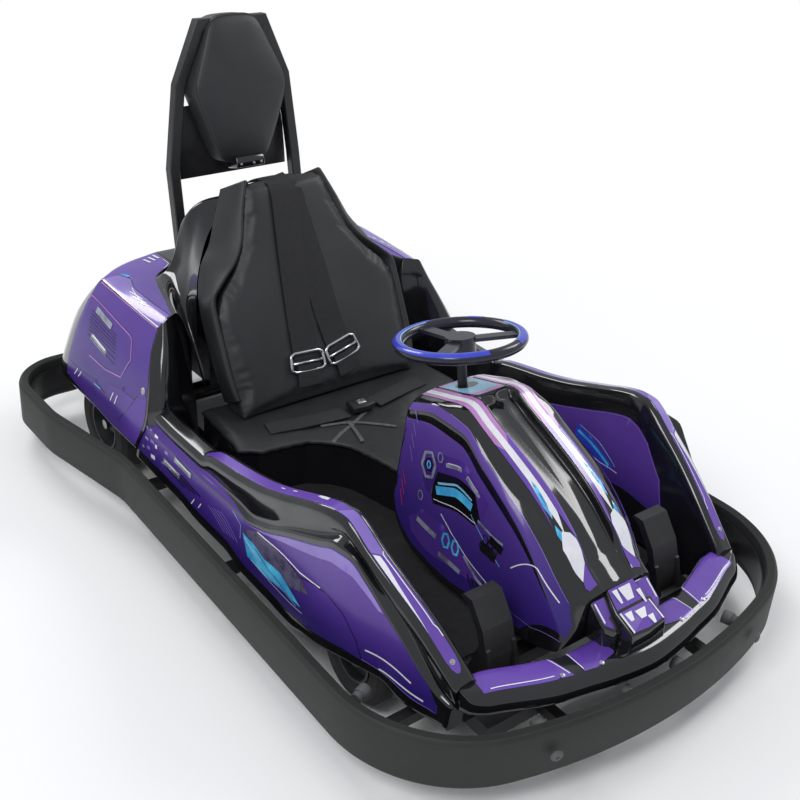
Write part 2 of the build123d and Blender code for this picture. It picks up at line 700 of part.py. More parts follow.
HAUNCH_FOOT = [
    (-357.0, 148.0),
    (-415.0, 149.0),
    (-490.0, 178.0),
    (-653.0, 187.0),
    (-800.0, 185.0),
    (-889.0, 185.0),
    (-889.0, 0.0),
    (-357.0, 0.0),
]


def haunch_solid(inset):
    """Left haunch without its hollow, each face moved inwards."""
    with BuildPart() as solid:
        add(inset_prism(HAUNCH_SIDE, Plane.XZ.offset(-CUT_HALF), inset, CUT_HALF))
        section = inset_prism(HAUNCH_SECTION, Plane.YZ.offset(-CUT_HALF), inset, CUT_LENGTH)
        add(section, mode=Mode.INTERSECT)
        plan = inset_prism(HAUNCH_PLAN, Plane.XY, inset, CUT_HALF)
        add(plan, mode=Mode.INTERSECT)
        outward = (-cos(radians(TAIL_TURN)), sin(radians(TAIL_TURN)), 0)
        sideways = (sin(radians(TAIL_TURN)), cos(radians(TAIL_TURN)), 0)
        slope = Plane(origin=(0, 0, 0), x_dir=outward, z_dir=sideways)
        tail = inset_prism(TAIL_SLOPE, slope.offset(-CUT_HALF), inset, CUT_LENGTH)
        add(tail, mode=Mode.INTERSECT)
    return solid.part


HAUNCH_WALL_Y = HAUNCH_PLAN[3][1] + 5.0

for side, sign in SIDES.items():
    with BuildPart() as haunch:
        add(haunch_solid(0))
        add(haunch_solid(SHELL_WALL), mode=Mode.SUBTRACT)
        across(HAUNCH_FOOT, HAUNCH_WALL_Y, 600, mode=Mode.SUBTRACT)
        inner = (HAUNCH_INNER_Y - 10, HAUNCH_WALL_Y + 1)
        block((-900, -300), inner, (0, PAN_BOTTOM), mode=Mode.SUBTRACT)
        block((PAN_REAR_X - 4, -300), inner, (0, BODY_FOOT), mode=Mode.SUBTRACT)
        hole = REAR_AXLE_RADIUS + MOVING_GAP
        cross_bar(REAR_AXLE_X, REAR_TYRE_RADIUS, hole, HAUNCH_INNER_Y - 10, SIDE_RAIL_Y, Mode.SUBTRACT)
        if sign < 0:
            mirror(about=Plane.XZ, mode=Mode.REPLACE)
    haunch.part.label = f"haunch_{side}"
    export_step(haunch.part, f"parts/haunch_{side}.step")

# Rear deck between the haunches

DECK_HALF_WIDTH = HAUNCH_INNER_Y - REST_GAP
DECK_SIDE = [
    (-600.0, HAUNCH_TOP),
    (-798.0, HAUNCH_TOP),
    (-812.0, 470.0),
    (-850.0, 400.0),
    (-876.0, 316.0),
    (TAIL_X, 207.0),
    (TAIL_X, PAN_BOTTOM),
    (-600.0, PAN_BOTTOM),
]
HOOP_TUBE = 28.0
HOOP_FOOT = (-690.0, 186.0)
HOOP_HOLE = HOOP_TUBE + 10.0

with BuildPart() as rear_deck:
    across(DECK_SIDE, -DECK_HALF_WIDTH, DECK_HALF_WIDTH)
    ends = rear_deck.faces().filter_by(Axis.Y)
    foot = rear_deck.faces().sort_by(Axis.Z)[0]
    front = rear_deck.faces().sort_by(Axis.X)[-1]
    offset(amount=-SHELL_WALL, openings=[*ends, foot, front])
    for sign in SIDES.values():
        with Locations((HOOP_FOOT[0], sign * HOOP_FOOT[1], HAUNCH_TOP)):
            Box(HOOP_HOLE, HOOP_HOLE, 4 * SHELL_WALL, mode=Mode.SUBTRACT)
rear_deck.part.label = "rear_deck"
export_step(rear_deck.part, "parts/rear_deck.step")

# Headrest hoop, plate and pad

HOOP_HALF = [
    (-690.0, 186.0, PAN_BOTTOM),
    (-690.0, 186.0, 505.0),
    (-737.0, 196.0, 731.0),
    (-749.0, 169.0, 945.0),
    (-749.0, 102.0, 1112.0),
]
PLATE_Z = (690.0, 880.0)
PLATE_HALF_WIDTH = 182.0
PLATE_FACE_X = -760.0
PLATE_THICKNESS = 5.0
PLATE_HOLE_RADIUS = 4.5
PLATE_HOLE_SPACING = (120.0, 100.0)

with BuildPart() as headrest_frame:
    with BuildLine():
        left = [p for p in HOOP_HALF]
        right = [(x, -y, z) for x, y, z in reversed(HOOP_HALF)]
        Polyline(*left, *right)
    with BuildSketch(Plane(origin=HOOP_HALF[0], z_dir=(0, 0, 1))):
        Rectangle(HOOP_TUBE, HOOP_TUBE)
    sweep(transition=Transition.RIGHT)
headrest_frame.part.label = "headrest_frame"
export_step(headrest_frame.part, "parts/headrest_frame.step")

HOOP_PLANE = Plane(origin=(-737.0, 0, 731.0), x_dir=(0, 1, 0), z_dir=(381.0, 0, 12.0))
PAD_OUTLINE = [(-50, 40), (50, 40), (133, 224), (60, 398), (-60, 398), (-133, 224)]
PAD_BACK = 15.0
PAD_THICKNESS = 62.0

with BuildPart() as headrest_plate:
    with BuildSketch(Plane.YZ.offset(PLATE_FACE_X)):
        with Locations((0, (PLATE_Z[0] + PLATE_Z[1]) / 2)):
            Rectangle(2 * PLATE_HALF_WIDTH, PLATE_Z[1] - PLATE_Z[0])
            with GridLocations(*PLATE_HOLE_SPACING, 2, 2):
                Circle(PLATE_HOLE_RADIUS, mode=Mode.SUBTRACT)
    extrude(amount=-PLATE_THICKNESS)
headrest_plate.part.label = "headrest_plate"
export_step(headrest_plate.part, "parts/headrest_plate.step")

with BuildPart() as headrest:
    with BuildSketch(HOOP_PLANE.offset(PAD_BACK)):
        with BuildLine():
            Polyline(*PAD_OUTLINE, close=True)
        make_face()
    extrude(amount=PAD_THICKNESS, taper=8)
headrest.part.label = "headrest"
export_step(headrest.part, "parts/headrest.step")

# Seat base, cushion, backrest and bucket

BASE_EDGE = [
    (-376.0, 330.0),
    (-160.0, 352.0),
    (-118.0, 301.0),
    (-93.0, 180.0),
    (-60.0, 136.0),
    (-19.0, 108.0),
    (57.0, 89.0),
    (196.0, 62.0),
]
BASE_PLAN = [*BASE_EDGE, *[(x, -y) for x, y in reversed(BASE_EDGE)]]
BASE_TOP = 222.0
CUSHION_TOP = 240.0
BASE_WALL = 6.0
BASE_OVERHANG = 16.0

with BuildPart() as seat_base:
    add(inset_prism(BASE_PLAN, Plane.XY.offset(BODY_FOOT), BASE_OVERHANG, BASE_TOP - BODY_FOOT))
    add(
        inset_prism(
            BASE_PLAN,
            Plane.XY.offset(BODY_FOOT - 1),
            BASE_OVERHANG + BASE_WALL,
            BASE_TOP - BODY_FOOT - BASE_WALL + 1,
        ),
        mode=Mode.SUBTRACT,
    )
seat_base.part.label = "seat_base"
export_step(seat_base.part, "parts/seat_base.step")

with BuildPart() as seat_cushion:
    upright(BASE_PLAN, BASE_TOP + REST_GAP, CUSHION_TOP)
    fillet(seat_cushion.edges().group_by(Axis.Z)[-1], radius=8)
seat_cushion.part.label = "seat_cushion"
export_step(seat_cushion.part, "parts/seat_cushion.step")

RECLINE = 27.0
BACK_FOOT = (-236.0, 240.6)
BACK_PLANE = Plane(
    origin=(BACK_FOOT[0], 0, BACK_FOOT[1]),
    x_dir=(0, 1, 0),
    z_dir=(cos(radians(RECLINE)), 0, sin(radians(RECLINE))),
)
BACK_EDGE = [
    (276.0, 2.0),
    (282.0, 122.0),
    (284.0, 200.0),
    (282.0, 272.0),
    (272.0, 300.0),
    (254.0, 332.0),
    (208.0, 380.0),
    (176.0, 428.0),
    (150.0, 494.0),
    (122.0, 570.0),
    (96.0, 582.0),
]
BACK_THICKNESS = 75.0
WING_SETBACK = 14.0
WING_EDGE = [
    (290.0, 2.0),
    (296.0, 122.0),
    (298.0, 200.0),
    (296.0, 285.0),
    (286.0, 330.0),
    (226.0, 410.0),
    (192.0, 480.0),
    (160.0, 574.0),
]
BUCKET_EDGE = [
    (288.0, 58.0),
    (296.0, 200.0),
    (294.0, 290.0),
    (276.0, 344.0),
    (236.0, 404.0),
    (214.0, 446.0),
]
BUCKET_DEPTH = 30.0
BUCKET_TOP_Z = 663.0
BUCKET_RIM_FOOT = [(-430.0, 350.0), (-648.0, 268.0), (-662.0, 150.0)]
BUCKET_RIM_HEAD = [(-480.0, 218.0), (-558.0, 208.0), (-600.0, 150.0)]


def mirrored(points):
    """Close a left half outline with its mirror image."""
    return [*points, *[(-across_y, up) for across_y, up in reversed(points)]]


def rim_section(points, z):
    """Closed plan of the bucket's rim at a height."""
    with BuildSketch(Plane.XY.offset(z)) as plan:
        with BuildLine():
            Polyline(*points, *[(x, -y) for x, y in reversed(points)], close=True)
        make_face()
    return plan.sketch


def seat_room(clearance):
    """Solid of the backrest's room, with a clearance, up through the rim."""
    outline = [(y + clearance, up) for y, up in WING_EDGE]
    outline[-1] = (outline[-1][0], 2 * outline[-1][1])
    with BuildSketch(BACK_PLANE.offset(-BACK_THICKNESS - clearance)) as room:
        with BuildLine():
            Polyline(*mirrored(outline), close=True)
        make_face()
    return extrude(room.sketch, amount=500, mode=Mode.PRIVATE)


with BuildPart() as seat_backrest:
    with BuildSketch(BACK_PLANE):
        with BuildLine():
            Polyline(*mirrored(BACK_EDGE), close=True)
        make_face()
    extrude(amount=-BACK_THICKNESS)
    block((-900, 0), (-300, 300), (0, CUSHION_TOP + REST_GAP), mode=Mode.SUBTRACT)
seat_backrest.part.label = "seat_backrest"
export_step(seat_backrest.part, "parts/seat_backrest.step")

with BuildPart() as seat_bucket:
    with BuildSketch(BACK_PLANE.offset(-BACK_THICKNESS - REST_GAP)):
        with BuildLine():
            Polyline(*mirrored(BUCKET_EDGE), close=True)
        make_face()
    extrude(amount=-BUCKET_DEPTH)
    foot = rim_section(BUCKET_RIM_FOOT, HAUNCH_TOP + REST_GAP)
    head = rim_section(BUCKET_RIM_HEAD, BUCKET_TOP_Z)
    rim = loft([foot, head], ruled=True, mode=Mode.PRIVATE)
    add(rim)
    add(seat_room(REST_GAP), mode=Mode.SUBTRACT)
seat_bucket.part.label = "seat_bucket"
export_step(seat_bucket.part, "parts/seat_bucket.step")

for side, sign in SIDES.items():
    with BuildPart() as seat_bolster:
        with BuildSketch(BACK_PLANE.offset(-BACK_THICKNESS)):
            with BuildLine():
                inner = [(sign * (y + REST_GAP), up) for y, up in BACK_EDGE[:-1]]
                outer = [(sign * y, up) for y, up in WING_EDGE]
                Polyline(*inner, *reversed(outer), close=True)
            make_face()
        extrude(amount=BACK_THICKNESS - WING_SETBACK)
        block((-900, 0), (-300, 300), (0, CUSHION_TOP + REST_GAP), mode=Mode.SUBTRACT)
    seat_bolster.part.label = f"seat_bolster_{side}"
    export_step(seat_bolster.part, f"parts/seat_bolster_{side}.step")

# Harness: two shoulder straps and a lap belt, lying on the pads

STRAP_WIDTH = 62.0
STRAP_THICKNESS = 3.0
STRAP_HEAD_Y = 34.0
STRAP_TAIL_Y = 76.0
STRAP_REACH = (110.0, 574.0)
LAP_BELT_X = (-206.0, -158.0)
LAP_BELT_Y = (110.0, 232.0)
LAP_BELT_DEPTH = 8.0

for side, sign in SIDES.items():
    with BuildPart() as shoulder_strap:
        with BuildSketch(BACK_PLANE.offset(REST_GAP)):
            with BuildLine():
                Polyline(
                    (sign * STRAP_TAIL_Y - STRAP_WIDTH / 2, STRAP_REACH[0]),
                    (sign * STRAP_TAIL_Y + STRAP_WIDTH / 2, STRAP_REACH[0]),
                    (sign * STRAP_HEAD_Y + STRAP_WIDTH / 2, STRAP_REACH[1]),
                    (sign * STRAP_HEAD_Y - STRAP_WIDTH / 2, STRAP_REACH[1]),
                    close=True,
                )
            make_face()
        extrude(amount=STRAP_THICKNESS)
    shoulder_strap.part.label = f"shoulder_strap_{side}"
    export_step(shoulder_strap.part, f"parts/shoulder_strap_{side}.step")

    with BuildPart() as lap_belt:
        belt_y = sorted(sign * y for y in LAP_BELT_Y)
        top = CUSHION_TOP + REST_GAP
        block(LAP_BELT_X, belt_y, (top, top + LAP_BELT_DEPTH))
    lap_belt.part.label = f"lap_belt_{side}"
    export_step(lap_belt.part, f"parts/lap_belt_{side}.step")

# Centre fairing: shoulders beside a sunk spine

FAIRING_REAR_X = 206.0
FAIRING_FRONT_X = 757.0
FAIRING_HEEL = [(310.0, BODY_FOOT), (262.0, 152.0), (226.0, 190.0), (210.0, 245.0)]
FAIRING_TOE = [(748.0, 158.0), (700.0, BODY_FOOT)]
FAIRING_TOP = [
    (FAIRING_REAR_X, 494.0, 8.0),
    (350.0, 531.0, 14.0),
    (404.0, 511.0, 18.0),
    (501.0, 471.0, 24.0),
    (564.0, 441.0, 30.0),
    (614.0, 413.0, 38.0),
    (650.0, 386.0, 46.0),
    (687.0, 354.0, 58.0),
    (712.0, 322.0, 60.0),
    (FAIRING_FRONT_X, 288.0, 60.0),
]
FAIRING_STATIONS = (
    (-150.0, 0.85),
    (-124.0, 1.0),
    (-70.0, 0.0),
    (70.0, 0.0),
    (124.0, 1.0),
    (150.0, 0.85),
)
FAIRING_ROOM_HALF = 120.0
FAIRING_ROOM_TOP = 172.0
GROOVE_HALF = 45.0
GROOVE_DEPTH = 22.0
GROOVE_X = (330.0, 704.0)
COLUMN_PASSAGE = COLUMN_RADIUS + MOVING_GAP


def fairing_outline(drop_share, extra_drop, inset):
    """Side outline of the fairing at one station, as (x, z) points."""
    top = [(x, z - drop_share * drop - extra_drop - inset) for x, z, drop in FAIRING_TOP]
    top[0] = (top[0][0] + inset, top[0][1])
    top[-1] = (top[-1][0] - inset, top[-1][1])
    heel = [(x + inset, z) for x, z in FAIRING_HEEL]
    toe = [(x - inset, z) for x, z in FAIRING_TOE]
    return [*heel, *top, *toe]


def fairing_solid(side_inset, top_inset):
    """Centre fairing without its hollow, sides and top moved inwards."""
    with BuildPart() as solid:
        for y, share in FAIRING_STATIONS:
            extra = 34.0 if abs(y) > 140 else 0.0
            reach = y - side_inset if y > 140 else y + side_inset if y < -140 else y
            with BuildSketch(Plane.XZ.offset(-reach)):
                with BuildLine():
                    Polyline(*fairing_outline(share, extra, top_inset), close=True)
                make_face()
        loft(ruled=True)
    return solid.part


with BuildPart() as centre_fairing:
    add(fairing_solid(0, 0))
    groove = [(x, z - GROOVE_DEPTH) for x, z, drop in FAIRING_TOP if GROOVE_X[0] < x < GROOVE_X[1]]
    across([*groove, (GROOVE_X[1], 650.0), (GROOVE_X[0], 650.0)], -GROOVE_HALF, GROOVE_HALF, Mode.SUBTRACT)
    add(fairing_solid(SHELL_WALL, GROOVE_DEPTH + SHELL_WALL), mode=Mode.SUBTRACT)
    room_x = (FAIRING_REAR_X + SHELL_WALL, FAIRING_FRONT_X - SHELL_WALL)
    block(room_x, (-FAIRING_ROOM_HALF, FAIRING_ROOM_HALF), (0, FAIRING_ROOM_TOP), mode=Mode.SUBTRACT)
    with BuildSketch(on_column(0)):
        Circle(COLUMN_PASSAGE)
    extrude(amount=-COLUMN_LENGTH, mode=Mode.SUBTRACT)
centre_fairing.part.label = "centre_fairing"
export_step(centre_fairing.part, "parts/centre_fairing.step")

# Nose cap and front lip

NOSE_REAR_X = FAIRING_FRONT_X + REST_GAP
NOSE_UNDER_Z = 196.0
NOSE_RAISED_HALF = 52.0
NOSE_HALF_WIDTH = 84.0
NOSE_RAISED = [
    (NOSE_REAR_X, 292.0),
    (800.0, 268.0),
    (851.0, 243.0),
    (851.0, NOSE_UNDER_Z),
    (NOSE_REAR_X, NOSE_UNDER_Z),
]
NOSE_SHOULDER = [
    (NOSE_REAR_X, 272.0),
    (790.0, 256.0),
    (818.0, 238.0),
    (818.0, NOSE_UNDER_Z),
    (NOSE_REAR_X, NOSE_UNDER_Z),
]
LIP_TOP = 202.0
LIP_BOTTOM = 158.0
LIP_CORNER_RADIUS = 14.0
LIP_WALL = 5.0
LIP_STEP_Z = NOSE_UNDER_Z - REST_GAP
LIP_EDGE = [
    (743.3, 404.0),
    (786.0, 387.0),
    (804.0, 336.0),
    (846.0, 232.0),
    (876.0, 98.0),
    (884.0, 60.0),
]
LIP_REAR = [(743.3, 340.0), (716.0, 340.0), (776.0, 170.0)]
LIP_SIDE = [*reversed(LIP_REAR), *LIP_EDGE]
LIP_PLAN = [*LIP_SIDE, *[(x, -y) for x, y in reversed(LIP_SIDE)]]

with BuildPart() as nose_cap:
    across(NOSE_RAISED, -NOSE_RAISED_HALF, NOSE_RAISED_HALF)
    across(NOSE_SHOULDER, -NOSE_HALF_WIDTH, NOSE_HALF_WIDTH)
nose_cap.part.label = "nose_cap"
export_step(nose_cap.part, "parts/nose_cap.step")

with BuildPart() as front_lip:
    upright(LIP_PLAN, LIP_BOTTOM, LIP_TOP)
    lip_top_edges = front_lip.edges().group_by(Axis.Z)[-1]
    fillet(lip_top_edges.filter_by_position(Axis.X, 780, 900), LIP_CORNER_RADIUS)
    lip_room = LIP_TOP - LIP_BOTTOM - LIP_WALL + 1
    add(inset_prism(LIP_PLAN, Plane.XY.offset(LIP_BOTTOM - 1), LIP_WALL, lip_room), mode=Mode.SUBTRACT)
    recess_y = NOSE_HALF_WIDTH + REST_GAP
    recess_x = (700, NOSE_RAISED[2][0] + MOVING_GAP)
    block(recess_x, (-recess_y, recess_y), (LIP_STEP_Z, 300), mode=Mode.SUBTRACT)
    wall_x = (LIP_REAR[-1][0], LIP_REAR[-1][0] + LIP_WALL)
    block(wall_x, (-LIP_REAR[-1][1], LIP_REAR[-1][1]), (PAN_BOTTOM, LIP_STEP_Z))
front_lip.part.label = "front_lip"
export_step(front_lip.part, "parts/front_lip.step")

# Pedals on the front cross tubes

PEDAL_Y = (208.0, 286.0)
PEDAL_BASE_X = (628.0, 716.0)
PEDAL_BASE_DEPTH = 26.0
PEDAL_PLATE = [
    (600.0, 284.0),
    (606.0, 292.0),
    (632.0, 292.0),
    (672.0, 240.0),
    (694.0, 180.0),
    (700.0, 128.0),
    (684.0, 128.0),
    (676.0, 178.0),
    (656.0, 230.0),
    (622.0, 276.0),
]
PEDAL_RIB_HALF = 5.0
PEDAL_RIB = [(690.0, 200.0), (712.0, 130.0), (640.0, 130.0), (668.0, 212.0)]

for name, sign in {"pedal_brake": 1, "pedal_accelerator": -1}.items():
    with BuildPart() as pedal:
        across(PEDAL_PLATE, *sorted(sign * y for y in PEDAL_Y))
        for y in PEDAL_Y:
            inward = y + PEDAL_RIB_HALF if y == PEDAL_Y[0] else y - PEDAL_RIB_HALF
            rib = sorted((sign * inward - PEDAL_RIB_HALF, sign * inward + PEDAL_RIB_HALF))
            across(PEDAL_RIB, *rib)
        base_y = sorted(sign * y for y in PEDAL_Y)
        block(PEDAL_BASE_X, base_y, (PAN_BOTTOM, PAN_BOTTOM + PEDAL_BASE_DEPTH))
    pedal.part.label = name
    export_step(pedal.part, f"parts/{name}.step")
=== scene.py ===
import math

import bmesh
import bpy
from mathutils import Matrix, Vector
from mathutils.bvhtree import BVHTree


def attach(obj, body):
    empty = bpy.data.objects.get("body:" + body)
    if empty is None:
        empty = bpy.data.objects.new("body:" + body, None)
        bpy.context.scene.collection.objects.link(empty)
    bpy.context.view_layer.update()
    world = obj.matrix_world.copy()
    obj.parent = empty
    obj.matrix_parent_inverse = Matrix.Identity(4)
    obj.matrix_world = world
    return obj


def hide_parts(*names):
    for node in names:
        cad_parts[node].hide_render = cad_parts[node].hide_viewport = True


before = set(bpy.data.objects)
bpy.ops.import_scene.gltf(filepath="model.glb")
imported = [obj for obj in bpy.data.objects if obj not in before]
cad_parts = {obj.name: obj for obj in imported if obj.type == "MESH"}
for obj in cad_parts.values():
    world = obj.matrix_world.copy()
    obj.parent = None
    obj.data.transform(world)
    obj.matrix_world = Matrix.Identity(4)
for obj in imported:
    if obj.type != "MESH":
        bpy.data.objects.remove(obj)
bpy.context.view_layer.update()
scene = bpy.context.scene

# Camera, at the photograph's angle

CAMERA_AT = (1.974164, -1.623235, 1.794485)
VIEW_FORWARD = Vector((-0.67057417, 0.56933378, -0.47559366))
VIEW_UP = Vector((-0.41166966, 0.24774051, 0.87701353))
VIEW_RIGHT = VIEW_FORWARD.cross(VIEW_UP)
FOCAL_PX = 1216.25
IMAGE_PX = 800
CENTRE_PX = (411.76, 378.38)

camera_data = bpy.data.cameras.new("camera")
camera_data.sensor_width = 36
camera_data.lens = FOCAL_PX / IMAGE_PX * camera_data.sensor_width
camera_data.shift_x = (IMAGE_PX / 2 - CENTRE_PX[0]) / IMAGE_PX
camera_data.shift_y = (CENTRE_PX[1] - IMAGE_PX / 2) / IMAGE_PX
camera = bpy.data.objects.new("camera", camera_data)
turn = Matrix((VIEW_RIGHT, VIEW_UP, -VIEW_FORWARD)).transposed().to_4x4()
camera.matrix_world = Matrix.Translation(CAMERA_AT) @ turn
scene.collection.objects.link(camera)
scene.camera = camera

# Floor, lamps and world

scene.view_settings.view_transform = "Standard"


def link(obj):
    scene.collection.objects.link(obj)
    return obj


def area_lamp(name, at, target, size, watts):
    """Soft square lamp at a place, aimed at a target."""
    data = bpy.data.lights.new(name, "AREA")
    data.shape = "SQUARE"
    data.size = size
    data.energy = watts
    lamp = link(bpy.data.objects.new(name, data))
    lamp.location = at
    aim = (Vector(target) - Vector(at)).to_track_quat("-Z", "Y")
    lamp.rotation_euler = aim.to_euler()
    return lamp


area_lamp("key_lamp", (1.2, -2.6, 3.4), (0, 0, 0.3), 1.6, 60)
area_lamp("far_lamp", (0.4, 3.0, 3.0), (0, 0, 0.4), 1.4, 45)
area_lamp("rear_lamp", (-3.0, -0.4, 2.6), (0, 0, 0.4), 1.4, 40)

world = bpy.data.worlds.new("studio")
scene.world = world
world.use_nodes = True
nodes, links = world.node_tree.nodes, world.node_tree.links
nodes.clear()
out = nodes.new("ShaderNodeOutputWorld")
mix = nodes.new("ShaderNodeMixShader")
seen = nodes.new("ShaderNodeBackground")
seen.inputs["Color"].default_value = (1, 1, 1, 1)
seen.inputs["Strength"].default_value = 1.0
light = nodes.new("ShaderNodeBackground")
light.inputs["Color"].default_value = (0.93, 0.96, 1.0, 1)
light.inputs["Strength"].default_value = 0.55
path = nodes.new("ShaderNodeLightPath")
links.new(path.outputs["Is Camera Ray"], mix.inputs[0])
links.new(light.outputs[0], mix.inputs[1])
links.new(seen.outputs[0], mix.inputs[2])
links.new(mix.outputs[0], out.inputs["Surface"])


def floor():
    """Pale floor that keeps the shadow and fades to plain white away from the kart."""
    mesh = bpy.data.meshes.new("floor")
    half = 40.0
    mesh.from_pydata(
        [(-half, -half, 0), (half, -half, 0), (half, half, 0), (-half, half, 0)],
        [],
        [(0, 1, 2, 3)],
    )
    plane = link(bpy.data.objects.new("floor", mesh))
    material = bpy.data.materials.new("floor")
    material.use_nodes = True
    nodes, links = material.node_tree.nodes, material.node_tree.links
    shader = nodes["Principled BSDF"]
    shader.inputs["Base Color"].default_value = (0.95, 0.95, 0.95, 1)
    shader.inputs["Roughness"].default_value = 0.7
    shader.inputs["Specular IOR Level"].default_value = 0.2
    coords = nodes.new("ShaderNodeTexCoord")
    reach = nodes.new("ShaderNodeVectorMath")
    reach.operation = "LENGTH"
    links.new(coords.outputs["Object"], reach.inputs[0])
    fade = nodes.new("ShaderNodeMapRange")
    fade.inputs["From Min"].default_value = 1.15
    fade.inputs["From Max"].default_value = 1.9
    links.new(reach.outputs["Value"], fade.inputs["Value"])
    seen = nodes.new("ShaderNodeLightPath")
    share = nodes.new("ShaderNodeMath")
    share.operation = "MULTIPLY"
    links.new(fade.outputs["Result"], share.inputs[0])
    links.new(seen.outputs["Is Camera Ray"], share.inputs[1])
    plain = nodes.new("ShaderNodeEmission")
    mixed = nodes.new("ShaderNodeMixShader")
    links.new(share.outputs["Value"], mixed.inputs["Fac"])
    links.new(shader.outputs["BSDF"], mixed.inputs[1])
    links.new(plain.outputs["Emission"], mixed.inputs[2])
    links.new(mixed.outputs["Shader"], nodes["Material Output"].inputs["Surface"])
    mesh.materials.append(material)


floor()

# Materials


def shade(name, color, rough, vary=0.12, grain=60.0, bump=0.0, bump_scale=400.0, pattern="noise",
          metallic=0.0, coat=0.0, rough_vary=0.06, sheen=0.0, second=None, spec=0.5):
    """Principled material whose colour, roughness and relief vary by object coordinates."""
    material = bpy.data.materials.new(name)
    material.use_nodes = True
    nodes, links = material.node_tree.nodes, material.node_tree.links
    shader = nodes["Principled BSDF"]
    coords = nodes.new("ShaderNodeTexCoord")
    cloud = nodes.new("ShaderNodeTexNoise")
    cloud.inputs["Scale"].default_value = grain
    cloud.inputs["Detail"].default_value = 5.0
    links.new(coords.outputs["Object"], cloud.inputs["Vector"])
    ramp = nodes.new("ShaderNodeValToRGB")
    ramp.color_ramp.elements[0].position = 0.3
    ramp.color_ramp.elements[1].position = 0.7
    other = second or color
    low = [max(c * (1 - vary), 0) for c in color]
    high = [min(c * (1 + vary), 1) for c in other]
    ramp.color_ramp.elements[0].color = (*low, 1)
    ramp.color_ramp.elements[1].color = (*high, 1)
    links.new(cloud.outputs["Fac"], ramp.inputs["Fac"])
    links.new(ramp.outputs["Color"], shader.inputs["Base Color"])
    spread = nodes.new("ShaderNodeMapRange")
    spread.inputs["To Min"].default_value = max(rough - rough_vary, 0.02)
    spread.inputs["To Max"].default_value = min(rough + rough_vary, 1.0)
    links.new(cloud.outputs["Fac"], spread.inputs["Value"])
    links.new(spread.outputs["Result"], shader.inputs["Roughness"])
    shader.inputs["Metallic"].default_value = metallic
    shader.inputs["Coat Weight"].default_value = coat
    shader.inputs["Coat Roughness"].default_value = 0.06
    shader.inputs["Specular IOR Level"].default_value = spec
    if sheen:
        shader.inputs["Sheen Weight"].default_value = sheen
    if bump:
        relief = nodes.new("ShaderNodeBump")
        relief.inputs["Strength"].default_value = bump
        relief.inputs["Distance"].default_value = 0.001
        if pattern == "leather":
            cells = nodes.new("ShaderNodeTexVoronoi")
            cells.inputs["Scale"].default_value = bump_scale
            links.new(coords.outputs["Object"], cells.inputs["Vector"])
            links.new(cells.outputs["Distance"], relief.inputs["Height"])
        elif pattern == "weave":
            turned = nodes.new("ShaderNodeMapping")
            turned.inputs["Rotation"].default_value = (0.0, 0.3, 0.0)
            links.new(coords.outputs["Object"], turned.inputs["Vector"])
            waves = nodes.new("ShaderNodeTexWave")
            waves.wave_type = "BANDS"
            waves.bands_direction = "Z"
            waves.inputs["Scale"].default_value = bump_scale
            waves.inputs["Distortion"].default_value = 1.0
            links.new(turned.outputs["Vector"], waves.inputs["Vector"])
            links.new(waves.outputs["Fac"], relief.inputs["Height"])
        else:
            fine = nodes.new("ShaderNodeTexNoise")
            fine.inputs["Scale"].default_value = bump_scale
            fine.inputs["Detail"].default_value = 3.0
            links.new(coords.outputs["Object"], fine.inputs["Vector"])
            links.new(fine.outputs["Fac"], relief.inputs["Height"])
        links.new(relief.outputs["Normal"], shader.inputs["Normal"])
    return material


def graded(name, low, high, z0, z1, rough=0.22):
    """Film whose colour runs from low to high over a height, with some clouding."""
    material = shade(name, low, rough, 0.1, 5, 0.02, 60, coat=0.15, spec=0.3)
    nodes, links = material.node_tree.nodes, material.node_tree.links
    coords = nodes["Texture Coordinate"]
    cloud = nodes["Noise Texture"]
    split = nodes.new("ShaderNodeSeparateXYZ")
    links.new(coords.outputs["Object"], split.inputs["Vector"])
    height = nodes.new("ShaderNodeMapRange")
    height.inputs["From Min"].default_value = z0
    height.inputs["From Max"].default_value = z1
    links.new(split.outputs["Z"], height.inputs["Value"])
    blend = nodes.new("ShaderNodeMath")
    blend.operation = "MULTIPLY_ADD"
    blend.inputs[1].default_value = 0.3
    links.new(cloud.outputs["Fac"], blend.inputs[0])
    links.new(height.outputs["Result"], blend.inputs[2])
    ramp = nodes.new("ShaderNodeValToRGB")
    ramp.color_ramp.elements[0].position = 0.15
    ramp.color_ramp.elements[0].color = (*low, 1)
    ramp.color_ramp.elements[1].position = 1.15
    ramp.color_ramp.elements[1].color = (*high, 1)
    links.new(blend.outputs["Value"], ramp.inputs["Fac"])
    links.new(ramp.outputs["Color"], nodes["Principled BSDF"].inputs["Base Color"])
    return material


